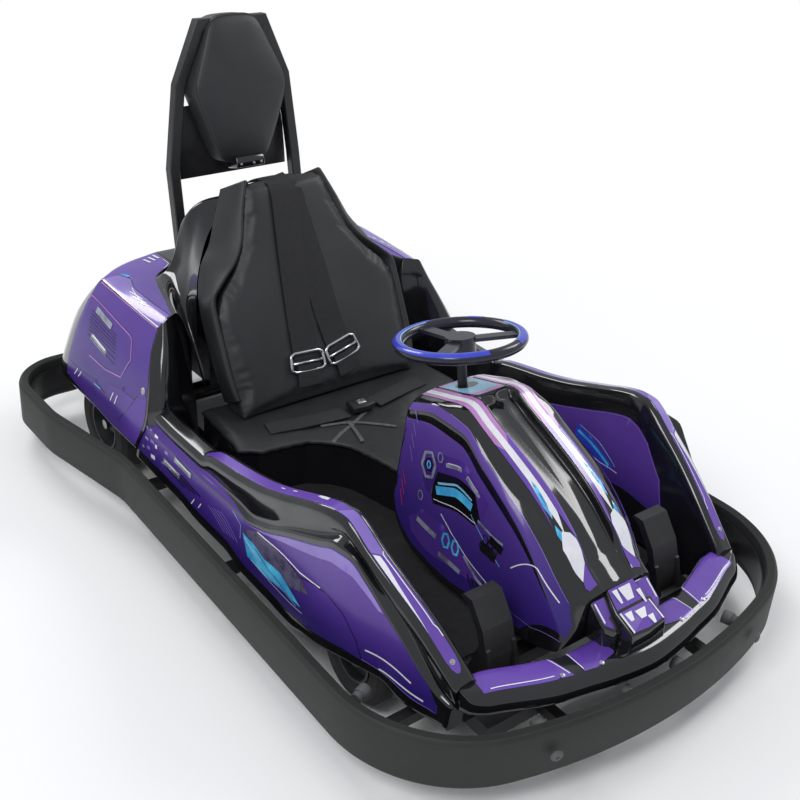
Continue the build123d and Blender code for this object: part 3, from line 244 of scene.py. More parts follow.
M = {
    "gloss": shade("gloss_black", (0.008, 0.008, 0.010), 0.10, 0.3, 6, 0.02, 30, coat=0.6,
                   rough_vary=0.04),
    "violet": shade("violet_film", (0.115, 0.048, 0.37), 0.22, 0.10, 5, 0.02, 60, coat=0.5,
                    second=(0.15, 0.066, 0.43)),
    "deep": shade("indigo_film", (0.050, 0.024, 0.19), 0.22, 0.15, 4, 0.02, 60, coat=0.15, spec=0.3,
                  second=(0.085, 0.034, 0.28)),
    "light": shade("lilac_film", (0.20, 0.125, 0.50), 0.22, 0.10, 5, 0.02, 60, coat=0.5,
                   second=(0.27, 0.19, 0.58)),
    "panel": graded("panel_film", (0.030, 0.014, 0.17), (0.115, 0.050, 0.32), 0.15, 0.36),
    "flank": graded("flank_film", (0.034, 0.016, 0.18), (0.115, 0.056, 0.32), 0.20, 0.52),
    "white": shade("white_print", (0.80, 0.80, 0.86), 0.25, 0.05, 40, coat=0.4),
    "mauve": shade("mauve_print", (0.42, 0.16, 0.46), 0.25, 0.12, 12, coat=0.4,
                   second=(0.55, 0.27, 0.62)),
    "sky": shade("sky_print", (0.20, 0.50, 0.75), 0.25, 0.15, 14, coat=0.4,
                 second=(0.30, 0.62, 0.85)),
    "cyan": shade("cyan_print", (0.02, 0.28, 0.75), 0.25, 0.2, 20, coat=0.4,
                  second=(0.10, 0.55, 0.90)),
    "grey": shade("grey_print", (0.16, 0.17, 0.22), 0.28, 0.3, 30, coat=0.3,
                  second=(0.30, 0.32, 0.40)),
    "smoke": shade("smoke_print", (0.045, 0.035, 0.09), 0.28, 0.3, 30, coat=0.3,
                   second=(0.10, 0.09, 0.16)),
    "red": shade("red_print", (0.42, 0.03, 0.12), 0.28, 0.15, 30, coat=0.3),
    "leather": shade("leatherette", (0.019, 0.020, 0.022), 0.42, 0.15, 8, 0.25, 900, "leather",
                     rough_vary=0.05),
    "thread": shade("seam_thread", (0.010, 0.010, 0.011), 0.7, 0.2, 200),
    "web": shade("strap_webbing", (0.022, 0.022, 0.024), 0.62, 0.2, 80, 0.8, 260, "weave"),
    "steel": shade("bright_steel", (0.62, 0.63, 0.65), 0.22, 0.08, 60, 0.05, 300, metallic=1.0),
    "zinc": shade("bolt_zinc", (0.55, 0.56, 0.58), 0.35, 0.15, 200, 0.1, 600, metallic=1.0),
    "rubber": shade("belt_rubber", (0.0155, 0.0165, 0.0145), 0.62, 0.25, 25, 0.35, 350,
                    rough_vary=0.1),
    "tyre": shade("tyre_rubber", (0.016, 0.016, 0.017), 0.75, 0.25, 40, 0.4, 500),
    "rim": shade("rim_paint", (0.045, 0.046, 0.05), 0.42, 0.2, 60, 0.1, 500, metallic=0.3),
    "satin": shade("frame_paint", (0.018, 0.018, 0.020), 0.40, 0.25, 30, 0.15, 700),
    "mat": shade("floor_mat", (0.012, 0.012, 0.013), 0.85, 0.4, 60, 0.8, 900),
    "plastic": shade("moulded_plastic", (0.016, 0.016, 0.017), 0.45, 0.2, 40, 0.3, 800),
    "grommet": shade("grey_rubber", (0.10, 0.10, 0.105), 0.6, 0.3, 60, 0.3, 500),
    "case": shade("battery_case", (0.06, 0.06, 0.07), 0.6, 0.2, 40, 0.2, 500),
    "blue": shade("blue_inlay", (0.035, 0.055, 0.55), 0.22, 0.12, 30, coat=0.5),
}

# Mesh helpers. Tables are in millimetres, meshes in metres.

MM = 0.001


def smooth_faces(mesh):
    mesh.polygons.foreach_set("use_smooth", [True] * len(mesh.polygons))


def sharpen(obj, degrees):
    """Edges above an angle stay sharp."""
    obj.data.set_sharp_from_angle(angle=math.radians(degrees))
    return obj


def new_object(name, verts, faces, material, smooth=True):
    """Object from points in metres and faces."""
    mesh = bpy.data.meshes.new(name)
    mesh.from_pydata([tuple(v) for v in verts], [], faces)
    mesh.materials.append(M[material])
    if smooth:
        smooth_faces(mesh)
    return link(bpy.data.objects.new(name, mesh))


def built(name, build, material):
    """Smooth object of a finished bmesh, which is freed."""
    mesh = bpy.data.meshes.new(name)
    build.to_mesh(mesh)
    build.free()
    mesh.materials.append(M[material])
    smooth_faces(mesh)
    return link(bpy.data.objects.new(name, mesh))


def turn_out(obj):
    """Turn an object's faces outwards."""
    build = bmesh.new()
    build.from_mesh(obj.data)
    bmesh.ops.recalc_face_normals(build, faces=build.faces[:])
    build.to_mesh(obj.data)
    build.free()
    return obj


def ring_faces(rings, sides, closed=False):
    """Faces between rings of points that follow each other, and the ends of an open run."""
    faces = []
    for i in range(rings if closed else rings - 1):
        a, b = i * sides, (i + 1) % rings * sides
        for k in range(sides):
            m = (k + 1) % sides
            faces.append((a + k, a + m, b + m, b + k))
    if not closed:
        faces.append(tuple(range(sides))[::-1])
        faces.append(tuple(range((rings - 1) * sides, rings * sides)))
    return faces


def finish_piece(obj, body="kart", replaces=()):
    """Put a finished piece on its body and hide the nodes that it replaces."""
    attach(obj, body)
    if replaces:
        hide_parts(*replaces)
    return obj


def join(name, objects):
    """One object from several, keeping their materials."""
    mesh = bpy.data.meshes.new(name)
    made = link(bpy.data.objects.new(name, mesh))
    build = bmesh.new()
    materials = []
    for obj in objects:
        shift = []
        for slot_material in obj.data.materials:
            if slot_material not in materials:
                materials.append(slot_material)
            shift.append(materials.index(slot_material))
        start = len(build.faces)
        build.from_mesh(obj.data)
        build.faces.ensure_lookup_table()
        for face in build.faces[start:]:
            face.material_index = shift[face.material_index] if shift else 0
    build.to_mesh(mesh)
    build.free()
    for material in materials:
        mesh.materials.append(material)
    for obj in objects:
        old = obj.data
        bpy.data.objects.remove(obj)
        bpy.data.meshes.remove(old)
    return made


def smooth_table(knots):
    """Monotone cubic through (u, a, b, ...) knots, as a function of u."""
    us = [k[0] for k in knots]
    columns = [[k[i] for k in knots] for i in range(1, len(knots[0]))]
    slopes = []
    for column in columns:
        steps = [(column[i + 1] - column[i]) / (us[i + 1] - us[i]) for i in range(len(us) - 1)]
        slope = [steps[0]]
        for a, b in zip(steps, steps[1:]):
            slope.append(0.0 if a * b <= 0 else 2 * a * b / (a + b))
        slope.append(steps[-1])
        slopes.append(slope)

    def value(u):
        u = min(max(u, us[0]), us[-1])
        i = 0
        while i < len(us) - 2 and u > us[i + 1]:
            i += 1
        h = us[i + 1] - us[i]
        t = (u - us[i]) / h
        a, b = (1 + 2 * t) * (1 - t) ** 2, t * (1 - t) ** 2 * h
        c, d = t * t * (3 - 2 * t), t * t * (t - 1) * h
        return [
            a * column[i] + b * slope[i] + c * column[i + 1] + d * slope[i + 1]
            for column, slope in zip(columns, slopes)
        ]

    return value


def stations(rows):
    """Rows of 3D points at the same stations, as a function of the station number."""
    tables = [smooth_table([(i, *p) for i, p in enumerate(row)]) for row in rows]
    return lambda u: [table(u) for table in tables]


STRIPE_STEP = 8
ROUND_STEPS = 4
ROUND_SHARE = 0.48


class Shell:
    """Surface through rows of points in mm, rounded across at each row."""

    def __init__(self, rows_at, radii, hand=1, flip=False):
        self.rows_at, self.radii, self.hand, self.flip = rows_at, radii, hand, flip
        self.kept = {}

    def rows(self, u):
        key = round(u, 5)
        if key not in self.kept:
            self.kept[key] = [Vector((p[0], p[1] * self.hand, p[2])) for p in self.rows_at(u)]
        return self.kept[key]

    def lead(self, pts, j, k):
        """Share of the segment from row j to row k that row j's rounding takes."""
        if j in (0, len(pts) - 1):
            return 0.0
        return min(self.radii[j] / max((pts[k] - pts[j]).length, 1e-4), ROUND_SHARE)

    def at(self, u, v):
        pts = self.rows(u)
        last = len(pts) - 1
        v = min(max(v, 0.0), last)
        j = min(int(v), last - 1)
        f = v - j
        low, high = self.lead(pts, j, j + 1), self.lead(pts, j + 1, j)
        if f < low:
            return self.corner(pts, j, 0.5 + 0.5 * f / low)
        if 1 - f < high:
            return self.corner(pts, j + 1, 0.5 - 0.5 * (1 - f) / high)
        return pts[j].lerp(pts[j + 1], f)

    def corner(self, pts, j, t):
        a = pts[j].lerp(pts[j - 1], self.lead(pts, j, j - 1))
        c = pts[j].lerp(pts[j + 1], self.lead(pts, j, j + 1))
        return a * (1 - t) ** 2 + pts[j] * (2 * t * (1 - t)) + c * t * t

    def normal(self, u, v, du, dv=0.02):
        along = self.at(u + du, v) - self.at(u - du, v)
        over = self.at(u, v + dv) - self.at(u, v - dv)
        n = along.cross(over)
        if n.length < 1e-9:
            n = Vector((0, 0, 1))
        return n.normalized() * (-1 if self.flip else 1)

    def column(self, u, flats):
        """Points across the surface at u, in the same number everywhere."""
        pts = self.rows(u)
        last = len(pts) - 1
        values = [0.0]
        for j in range(last):
            low, high = self.lead(pts, j, j + 1), self.lead(pts, j + 1, j)
            if j > 0:
                values += [j + low * k / ROUND_STEPS for k in range(1, ROUND_STEPS + 1)]
            values += [j + low + (1 - low - high) * k / flats for k in range(1, flats)]
            if j + 1 < last:
                values += [j + 1 - high * (ROUND_STEPS - k) / ROUND_STEPS
                           for k in range(ROUND_STEPS + 1)]
            else:
                values.append(j + 1)
        return [self.at(u, v) for v in values]

    def skin(self, name, us, material, flats=2, caps=(False, False)):
        """Mesh object of the whole surface over the given stations."""
        columns = [self.column(u, flats) for u in us]
        n = len(columns[0])
        verts = [p * MM for column in columns for p in column]
        faces = []
        for i in range(len(us) - 1):
            for k in range(n - 1):
                quad = (i * n + k, (i + 1) * n + k, (i + 1) * n + k + 1, i * n + k + 1)
                faces.append(quad[::-1] if self.flip else quad)
        if caps[0]:
            ring = tuple(range(n))
            faces.append(ring[::-1] if self.flip else ring)
        if caps[1]:
            ring = tuple(range((len(us) - 1) * n, len(us) * n))
            faces.append(ring if self.flip else ring[::-1])
        obj = new_object(name, verts, faces, material)
        flat_caps(obj, faces)
        return obj

    def patch(self, name, outline, material, lift=0.7, du=12.0, dv=0.12):
        """Print on the surface: a closed (u, v) outline, cut into small faces."""
        build = bmesh.new()
        build.faces.new([build.verts.new((u, v, 0)) for u, v in outline])
        for axis, step in ((0, du), (1, dv)):
            low = min(p[axis] for p in outline)
            high = max(p[axis] for p in outline)
            direction = (1, 0, 0) if axis == 0 else (0, 1, 0)
            k = math.floor(low / step) + 1
            while k * step < high:
                geometry = build.verts[:] + build.edges[:] + build.faces[:]
                at = tuple(c * k * step for c in direction)
                bmesh.ops.bisect_plane(build, geom=geometry, plane_co=at, plane_no=direction)
                k += 1
        for vert in build.verts:
            u, v = vert.co.x, vert.co.y
            vert.co = (self.at(u, v) + self.normal(u, v, du / 10) * lift) * MM
        build.normal_update()
        bmesh.ops.triangulate(build, faces=build.faces[:])
        obj = built(name, build, material)
        face_outwards(obj, self, outline, du)
        return obj

    def stripe(self, name, path, width, material, lift=1.0, du=1.0):
        """Ribbon of a width in mm along a (u, v) path on the surface."""
        samples = []
        for (u0, v0), (u1, v1) in zip(path, path[1:]):
            count = max(int((self.at(u1, v1) - self.at(u0, v0)).length / STRIPE_STEP), 1)
            samples += [(u0 + (u1 - u0) * k / count, v0 + (v1 - v0) * k / count)
                        for k in range(count)]
        samples.append(path[-1])
        points = [self.at(u, v) for u, v in samples]
        verts, faces = [], []
        for i, (u, v) in enumerate(samples):
            n = self.normal(u, v, du)
            tangent = points[min(i + 1, len(points) - 1)] - points[max(i - 1, 0)]
            side = n.cross(tangent).normalized() * width / 2
            verts += [(points[i] + side + n * lift) * MM, (points[i] - side + n * lift) * MM]
            if i:
                faces.append((2 * i - 2, 2 * i - 1, 2 * i + 1, 2 * i))
        return new_object(name, verts, faces, material)


def flat_caps(obj, faces):
    """End faces with many corners stay flat shaded."""
    obj.data.polygons.foreach_set("use_smooth", [len(f) == 4 for f in faces])


def face_outwards(obj, shell, outline, du):
    """Turn a print's faces to the surface's outer side."""
    u = sum(p[0] for p in outline) / len(outline)
    v = sum(p[1] for p in outline) / len(outline)
    n = shell.normal(u, v, du / 10)
    if sum(p.normal.dot(n) * p.area for p in obj.data.polygons) < 0:
        obj.data.flip_normals()


def prism(name, outline, y0, y1, material, bevel, axis="y"):
    """Extruded outline with rounded edges; the outline is (x, z), (x, y) or (y, z)."""
    place = {
        "y": lambda a, b, c: (a, c, b),
        "z": lambda a, b, c: (a, b, c),
        "x": lambda a, b, c: (c, a, b),
    }[axis]
    n = len(outline)
    verts = [Vector(place(a, b, y0)) * MM for a, b in outline]
    verts += [Vector(place(a, b, y1)) * MM for a, b in outline]
    faces = [tuple(range(n)), tuple(range(2 * n - 1, n - 1, -1))]
    faces += [(i, n + i, n + (i + 1) % n, (i + 1) % n) for i in range(n)]
    build = bmesh.new()
    made = [build.verts.new(v) for v in verts]
    for f in faces:
        build.faces.new([made[i] for i in f])
    bmesh.ops.recalc_face_normals(build, faces=build.faces[:])
    bmesh.ops.bevel(build, geom=build.edges[:], offset=bevel * MM, segments=3,
                    affect="EDGES", profile=0.5)
    return sharpen(built(name, build, material), 40)


def tube(name, points, radius, material, sides=8, closed=False):
    """Round bar along points in mm."""
    pts = [Vector(p) for p in points]
    count = len(pts)
    verts = []
    up = None
    for i, p in enumerate(pts):
        if closed:
            t = pts[(i + 1) % count] - pts[i - 1]
        else:
            t = pts[min(i + 1, count - 1)] - pts[max(i - 1, 0)]
        t.normalize()
        if up is None:
            up = t.orthogonal().normalized()
        up = (up - t * up.dot(t)).normalized()
        side = t.cross(up)
        for k in range(sides):
            a = 2 * math.pi * k / sides
            verts.append((p + up * (math.cos(a) * radius) + side * (math.sin(a) * radius)) * MM)
    return new_object(name, verts, ring_faces(count, sides, closed), material)


def lathe(name, at, axis, profile, material, sides=24):
    """Turned piece: (distance along the axis, radius) profile from a point, in mm."""
    axis = Vector(axis).normalized()
    side = axis.orthogonal().normalized()
    other = axis.cross(side)
    verts = []
    for along, radius in profile:
        for k in range(sides):
            a = 2 * math.pi * k / sides
            p = Vector(at) + axis * along + (side * math.cos(a) + other * math.sin(a)) * radius
            verts.append(p * MM)
    return sharpen(new_object(name, verts, ring_faces(len(profile), sides), material), 40)


def bolt(name, at, normal, radius, material="zinc"):
    """Low round-headed screw with a washer, seated on a surface."""
    r = radius
    head = [(-1, r), (0.8, r), (1.0, r * 0.96), (1.0, r * 0.78), (1.4 + r * 0.18, r * 0.66),
            (1.4 + r * 0.26, r * 0.3), (1.4 + r * 0.1, r * 0.26), (1.4 + r * 0.1, 0.01)]
    return lathe(name, at, normal, head, material, 16)


def spaced(low, high, step):
    """Even values from low to high, about a step apart."""
    count = max(int(round((high - low) / step)), 1)
    return [low + (high - low) * k / count for k in range(count + 1)]


SIDES = {"right": -1, "left": 1}

# Finishes on the pieces that stay as modelled

NODE_FINISH = {
    "chassis_frame": "satin", "axle_carriers": "satin", "floor_pan": "mat", "battery_pack": "case",
    "drive_motor": "case", "rear_axle": "steel", "column_bracket": "satin", "bumper_rail": "satin",
    "knuckle_left": "satin",
    "knuckle_right": "satin", "tie_rod": "steel", "steering_column": "satin",
    "front_rim_left": "rim", "front_rim_right": "rim", "rear_rim_left": "rim",
    "rear_rim_right": "rim", "front_tyre_left": "tyre", "front_tyre_right": "tyre",
    "rear_tyre_left": "tyre", "rear_tyre_right": "tyre", "pedal_brake": "plastic",
    "pedal_accelerator": "plastic", "seat_base": "gloss",
}
for node, finish in NODE_FINISH.items():
    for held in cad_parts[node].material_slots:
        held.material = M[finish]


# Side bodies: ridge with its top strip, channel and outer panel. Rows are (x, |y|, z).

SIDE_X = (-378.0, 742.0)
STRIP = smooth_table([
    (-378, 446, 300), (-240, 447, 290), (-108, 447, 291), (-74, 444, 303), (6, 446, 319),
    (66, 447, 330), (152, 449, 351), (218, 449, 373), (276, 446, 394), (345, 443, 419),
    (392, 439, 430), (425, 436, 431), (459, 433, 416), (489, 430, 395), (561, 419, 350),
    (636, 404, 299), (704, 392, 244), (742, 386, 212),
])
PANEL_HEAD = smooth_table([
    (-378, 480, 262), (-254, 480, 246), (-134, 480, 246), (-21, 480, 250), (65, 480, 252),
    (107, 480, 250), (178, 481, 269), (284, 482, 319), (390, 482, 366), (437, 480, 387),
    (481, 476, 389), (520, 467, 358), (573, 455, 304), (612, 446, 267), (664, 434, 212),
    (704, 424, 175), (742, 416, 160),
])
PANEL_FOOT = smooth_table([
    (-378, 492, 172), (-312, 492, 171), (-163, 493, 168), (-70, 494, 158), (42, 494, 156),
    (127, 494, 134), (232, 494, 129), (310, 494, 123), (384, 494, 130), (506, 481, 151),
    (581, 465, 158), (660, 447, 142), (704, 430, 137), (742, 420, 134),
])
WALL_FOOT = (352.0, 112.0)


def side_rows(x):
    strip_y, strip_z = STRIP(x)
    head_y, head_z = PANEL_HEAD(x)
    foot_y, foot_z = PANEL_FOOT(x)
    low = min(head_z + 8, strip_z - 30)
    # between these stations the lower rows leave room for the wheel that turns
    turning = max(0.0, min(1.0, (x - 320) / 40, (630 - x) / 40))
    return [
        (x, foot_y - 30 + 26 * turning, foot_z - 24 + 14 * turning),
        (x, foot_y + 4, foot_z - 22 + 11 * turning),
        (x, foot_y, foot_z),
        (x, head_y, head_z),
        (x, strip_y + 20, low),
        (x, strip_y + 24, max(strip_z - 30, low + 5)),
        (x, strip_y + 24, strip_z - 14),
        (x, strip_y + 14, strip_z - 2),
        (x, strip_y - 14, strip_z + 3),
        (x, strip_y - 26, strip_z - 2),
        (x, strip_y - 34, strip_z - 24),
        (x, *WALL_FOOT),
    ]


SIDE_RADII = [0, 7, 4, 6, 14, 12, 12, 4, 3, 8, 14, 0]
side_shells = {}
for side, hand in SIDES.items():
    shell = Shell(side_rows, SIDE_RADII, hand, flip=hand > 0)
    side_shells[side] = shell
    skin = shell.skin(f"side_shell_{side}", spaced(*SIDE_X, 12), "gloss", caps=(True, True))
    finish_piece(skin, replaces=(f"side_body_{side}",))

# Haunches: top plate, outer side and tail in one sweep from the front edge round to the tail

HAUNCH_ROWS = [
    [(-433, 358, 482), (-500, 335, 482), (-657, 280, 482), (-722, 206, 482), (-800, 204, 481),
     (-824, 204, 462), (-858, 204, 400), (-880, 204, 316), (-888, 204, 207), (-888, 204, 112)],
    [(-418, 382, 482), (-500, 374, 483), (-635, 350, 484), (-702, 312, 484), (-766, 322, 482),
     (-800, 330, 458), (-842, 336, 400), (-870, 340, 316), (-890, 340, 207), (-888, 290, 112)],
    [(-410, 405, 466), (-500, 408, 470), (-600, 409, 474), (-660, 409, 476), (-714, 407, 476),
     (-748, 412, 448), (-796, 418, 396), (-848, 428, 310), (-886, 438, 210), (-888, 300, 186)],
    [(-402, 429, 420), (-500, 431, 422), (-600, 432, 424), (-665, 432, 424), (-732, 431, 420),
     (-775, 432, 396), (-818, 434, 356), (-860, 436, 282), (-888, 442, 204), (-887, 305, 186)],
    [(-366, 457, 355), (-500, 459, 355), (-600, 460, 355), (-670, 460, 355), (-745, 459, 350),
     (-790, 458, 330), (-828, 454, 298), (-862, 448, 252), (-886, 447, 197), (-886, 310, 186)],
    [(-336, 484, 262), (-500, 493, 245), (-600, 494, 243), (-675, 494, 243), (-750, 492, 240),
     (-798, 488, 232), (-836, 479, 216), (-866, 464, 200), (-884, 453, 190), (-885, 315, 186)],
    [(-378, 497, 176), (-500, 499, 178), (-600, 499, 186), (-675, 499, 187), (-750, 498, 187),
     (-796, 495, 187), (-836, 486, 187), (-868, 468, 187), (-882, 458, 186), (-884, 320, 186)],
    [(-378, 462, 150), (-500, 466, 160), (-600, 466, 168), (-675, 466, 168), (-750, 466, 168),
     (-790, 462, 168), (-825, 452, 168), (-850, 440, 168), (-860, 430, 168), (-862, 330, 168)],
]
HAUNCH_RADII = [0, 60, 12, 30, 40, 30, 7, 0]
# Front pillar, from the side's front edge round to the seat
PILLAR_ROWS = [
    [(-410, 405, 466), (-402, 429, 420), (-380, 448, 378), (-356, 465, 336), (-340, 476, 302),
     (-334, 484, 262)],
    [(-408, 392, 484), (-380, 406, 440), (-352, 424, 392), (-328, 440, 344), (-310, 452, 304),
     (-306, 458, 258)],
    [(-418, 376, 484), (-396, 378, 436), (-374, 384, 385), (-356, 388, 335), (-340, 394, 292),
     (-336, 398, 246)],
    [(-433, 358, 482), (-424, 346, 440), (-410, 338, 385), (-398, 332, 325), (-388, 322, 262),
     (-380, 318, 112)],
]
haunch_shells = {}
for side, hand in SIDES.items():
    shell = Shell(stations(HAUNCH_ROWS), HAUNCH_RADII, hand, flip=hand > 0)
    haunch_shells[side] = shell
    skin = shell.skin(f"haunch_skin_{side}", spaced(0, 9, 0.125), "gloss")
    pillar = Shell(stations(PILLAR_ROWS), [0, 22, 22, 0], hand, flip=hand > 0)
    post = pillar.skin(f"pillar_{side}", spaced(0, 5, 0.125), "gloss", flats=4)
    made = join(f"haunch_shell_{side}", [skin, post])
    finish_piece(made, replaces=(f"haunch_{side}",))

# Rear deck between the haunches, in one sweep down to the belt

DECK_LINE = [
    (-600, 482), (-700, 483), (-800, 481), (-824, 462), (-858, 400), (-880, 316), (-888, 207),
    (-888, 112),
]
DECK_ROWS = [
    [(x, y, z) for x, z in DECK_LINE] for y in (-204, -180, 0, 180, 204)
]
deck = Shell(stations(DECK_ROWS), [0, 4, 0, 4, 0], 1, flip=True)
deck_skin = deck.skin("deck_shell", spaced(0, 7, 0.125), "gloss", flats=4)
finish_piece(deck_skin, replaces=("rear_deck",))

# Bucket behind the seat: a rim that rises from the haunches, its lining and a shelf

BUCKET_ROWS = [
    [(-433, 358, 482), (-500, 335, 482), (-655, 278, 483), (-652, 225, 484), (-662, 150, 484),
     (-664, 0, 484)],
    [(-430, 352, 488), (-506, 328, 488), (-650, 268, 492), (-650, 221, 540), (-652, 160, 600),
     (-652, 0, 606)],
    [(-428, 346, 487), (-508, 318, 485), (-640, 254, 497), (-640, 211, 632), (-638, 150, 674),
     (-638, 0, 678)],
    [(-424, 336, 470), (-500, 305, 472), (-622, 240, 506), (-614, 207, 664), (-604, 150, 693),
     (-604, 0, 696)],
    [(-408, 316, 400), (-470, 300, 440), (-570, 236, 540), (-586, 188, 668), (-588, 130, 690),
     (-588, 0, 694)],
    [(-368, 300, 262), (-410, 298, 390), (-476, 264, 530), (-532, 192, 640), (-560, 130, 668),
     (-560, 0, 670)],
]
LINING_ROWS = [
    [(-430, 352, 484), (-424, 346, 440), (-410, 338, 385), (-398, 332, 325), (-388, 322, 262),
     (-382, 318, 116)],
    [(-470, 322, 484), (-462, 312, 440), (-456, 304, 385), (-452, 300, 325), (-450, 298, 262),
     (-450, 296, 116)],
    [(-640, 262, 484), (-630, 262, 440), (-620, 262, 385), (-610, 262, 325), (-600, 262, 262),
     (-600, 262, 116)],
]
SHELF = [(-380, 348), (-380, 266), (-600, 266), (-600, 348)]
walls = []
for side, hand in SIDES.items():
    rim = Shell(stations(BUCKET_ROWS), [0, 6, 6, 14, 14, 0], hand, flip=hand < 0)
    walls.append(rim.skin(f"bucket_{side}", spaced(0, 5, 0.125), "gloss"))
    lining = Shell(stations(LINING_ROWS), [0, 30, 0], hand, flip=hand < 0)
    walls.append(lining.skin(f"bucket_lining_{side}", spaced(0, 5, 0.25), "satin", flats=4))
    shelf = [(x, y * hand) for x, y in SHELF]
    walls.append(prism(f"bucket_shelf_{side}", shelf, 112, 117, "satin", 1, axis="z"))
bucket = join("bucket_shell", walls)
finish_piece(bucket, replaces=("seat_bucket",))

# Centre fairing: flat sides, rounded shoulders, raised cheeks beside a sunk spine

FAIRING_FOOT = smooth_table([
    (206, 250), (214, 210), (226, 188), (262, 154), (310, 136), (389, 126), (457, 128),
    (587, 136), (677, 152), (746, 178), (757, 190),
])
FAIRING_BORDER = smooth_table([
    (206, 112, 476), (300, 110, 506), (382, 109, 504), (464, 118, 464), (569, 125, 408),
    (642, 125, 347), (686, 121, 291), (757, 112, 215),
])
FAIRING_CREST = smooth_table([
    (206, 494), (280, 515), (351, 533), (404, 511), (501, 471), (564, 442), (614, 413),
    (650, 386), (687, 354), (712, 322), (757, 288),
])
FAIRING_SINK = smooth_table([(206, 0), (332, 0), (356, 20), (690, 20), (712, 6), (757, 0)])


def fairing_rows(x):
    foot_z = FAIRING_FOOT(x)[0]
    border_y, border_z = FAIRING_BORDER(x)
    crest = FAIRING_CREST(x)[0]
    sink = FAIRING_SINK(x)[0]
    half = [
        (x, 150, foot_z),
        (x, border_y + 14, border_z - 10),
        (x, border_y - 2, border_z + 8),
        (x, 92, crest - 3),
        (x, 46, crest + 3),
        (x, 40, crest + 3 - sink),
        (x, 0, crest + 3 - sink),
    ]
    return [(px, -py, pz) for px, py, pz in half] + half[-2::-1]


FAIRING_RADII = [0, 12, 12, 14, 3, 3, 0, 3, 3, 14, 12, 12, 0]
fairing = Shell(fairing_rows, FAIRING_RADII, 1)
fairing_us = spaced(206, 332, 9) + spaced(332, 356, 4)[1:] + spaced(356, 757, 9)[1:]
fairing_skin = fairing.skin("fairing_skin", fairing_us, "gloss", caps=(True, True))
finish_piece(fairing_skin, replaces=("centre_fairing",))

# Front lip round the nose, from one side body to the other. Rows run from the rear edge
# over the top to the front edge and under; stations run from the right to the left.

LIP_HALF = [
    # y, rear x, rear z, top front x, front x
    (404, 741, 206, 745, 752),
    (396, 728, 206, 758, 770),
    (370, 714, 205, 774, 792),
    (336, 717, 204, 786, 806),
    (232, 754, 203, 826, 848),
    (160, 776, 203, 842, 864),
    (98, 776, 203, 854, 877),
    (0, 776, 203, 864, 888),
]
LIP_STATIONS = [(-y, *row) for y, *row in LIP_HALF] + [(y, *row) for y, *row in LIP_HALF[-2::-1]]
LIP_ROWS = [
    [(s[1] + 2, s[0], 118 if abs(s[0]) < 165 else 172) for s in LIP_STATIONS],
    [(s[1], s[0], s[2] - 9) for s in LIP_STATIONS],
    [(s[1] + 7, s[0], s[2]) for s in LIP_STATIONS],
    [(s[3] - 4, s[0], 204) for s in LIP_STATIONS],
    [(s[4] - 6, s[0], 190) for s in LIP_STATIONS],
    [(s[4], s[0], 172) for s in LIP_STATIONS],
    [(s[4] - 4, s[0], 160) for s in LIP_STATIONS],
    [(s[4] - 26, s[0], 158) for s in LIP_STATIONS],
]
lip = Shell(stations(LIP_ROWS), [0, 4, 6, 12, 8, 7, 6, 0])
lip_skin = lip.skin("lip_skin", spaced(0, len(LIP_STATIONS) - 1, 0.125), "gloss",
                    caps=(True, True))
finish_piece(lip_skin, replaces=("front_lip",))

# Nose: a raised two-step cap between the fairing and the lip


def tapered(name, base, top, z0, material, bevel):
    """Closed rounded block from a flat outline at z0 up to an outline of points."""
    n = len(base)
    build = bmesh.new()
    low = [build.verts.new(Vector((x, y, z0)) * MM) for x, y in base]
    high = [build.verts.new(Vector(p) * MM) for p in top]
    build.faces.new(low[::-1])
    build.faces.new(high)
    for i in range(n):
        build.faces.new((low[i], low[(i + 1) % n], high[(i + 1) % n], high[i]))
    bmesh.ops.recalc_face_normals(build, faces=build.faces[:])
    bmesh.ops.triangulate(build, faces=[f for f in build.faces if len(f.verts) > 4])
    edges = [e for e in build.edges if len(e.link_faces) == 2 and e.calc_face_angle() > 0.3]
    bmesh.ops.bevel(build, geom=edges, offset=bevel * MM, segments=3, affect="EDGES", profile=0.5)
    return sharpen(built(name, build, material), 35)


nose_flange = tapered(
    "nose_flange",
    [(757, -84), (757, 84), (808, 84), (822, 66), (822, -66), (808, -84)],
    [(757, -84, 282), (757, 84, 282), (800, 84, 250), (818, 64, 240), (818, -64, 240),
     (800, -84, 250)],
    196, "gloss", 5,
)
nose_top = tapered(
    "nose_top",
    [(757, -54), (757, 54), (800, 54), (853, 51), (856, 0), (853, -51), (800, -54)],
    [(757, -40, 292), (757, 40, 292), (800, 50, 268), (850, 49, 246), (852, 0, 240),
     (850, -49, 246), (800, -50, 268)],
    196, "gloss", 5,
)
nose = join("nose_shell", [nose_flange, nose_top])
finish_piece(nose, replaces=("nose_cap",))

# Bumper belt: extruded rubber with fine grooves on its top


def arc_through(a, b, c, count):
    """Points of the arc from a to c through b, without the last."""
    (ax, ay), (bx, by), (cx, cy) = a, b, c
    d = 2 * (ax * (by - cy) + bx * (cy - ay) + cx * (ay - by))
    sa, sb, sc = ax**2 + ay**2, bx**2 + by**2, cx**2 + cy**2
    ux = (sa * (by - cy) + sb * (cy - ay) + sc * (ay - by)) / d
    uy = (sa * (cx - bx) + sb * (ax - cx) + sc * (bx - ax)) / d
    r = math.hypot(ax - ux, ay - uy)
    start, end = math.atan2(ay - uy, ax - ux), math.atan2(cy - uy, cx - ux)
    if end < start:
        end += 2 * math.pi
    turn = [start + (end - start) * k / count for k in range(count)]
    return [(ux + r * math.cos(t), uy + r * math.sin(t)) for t in turn]


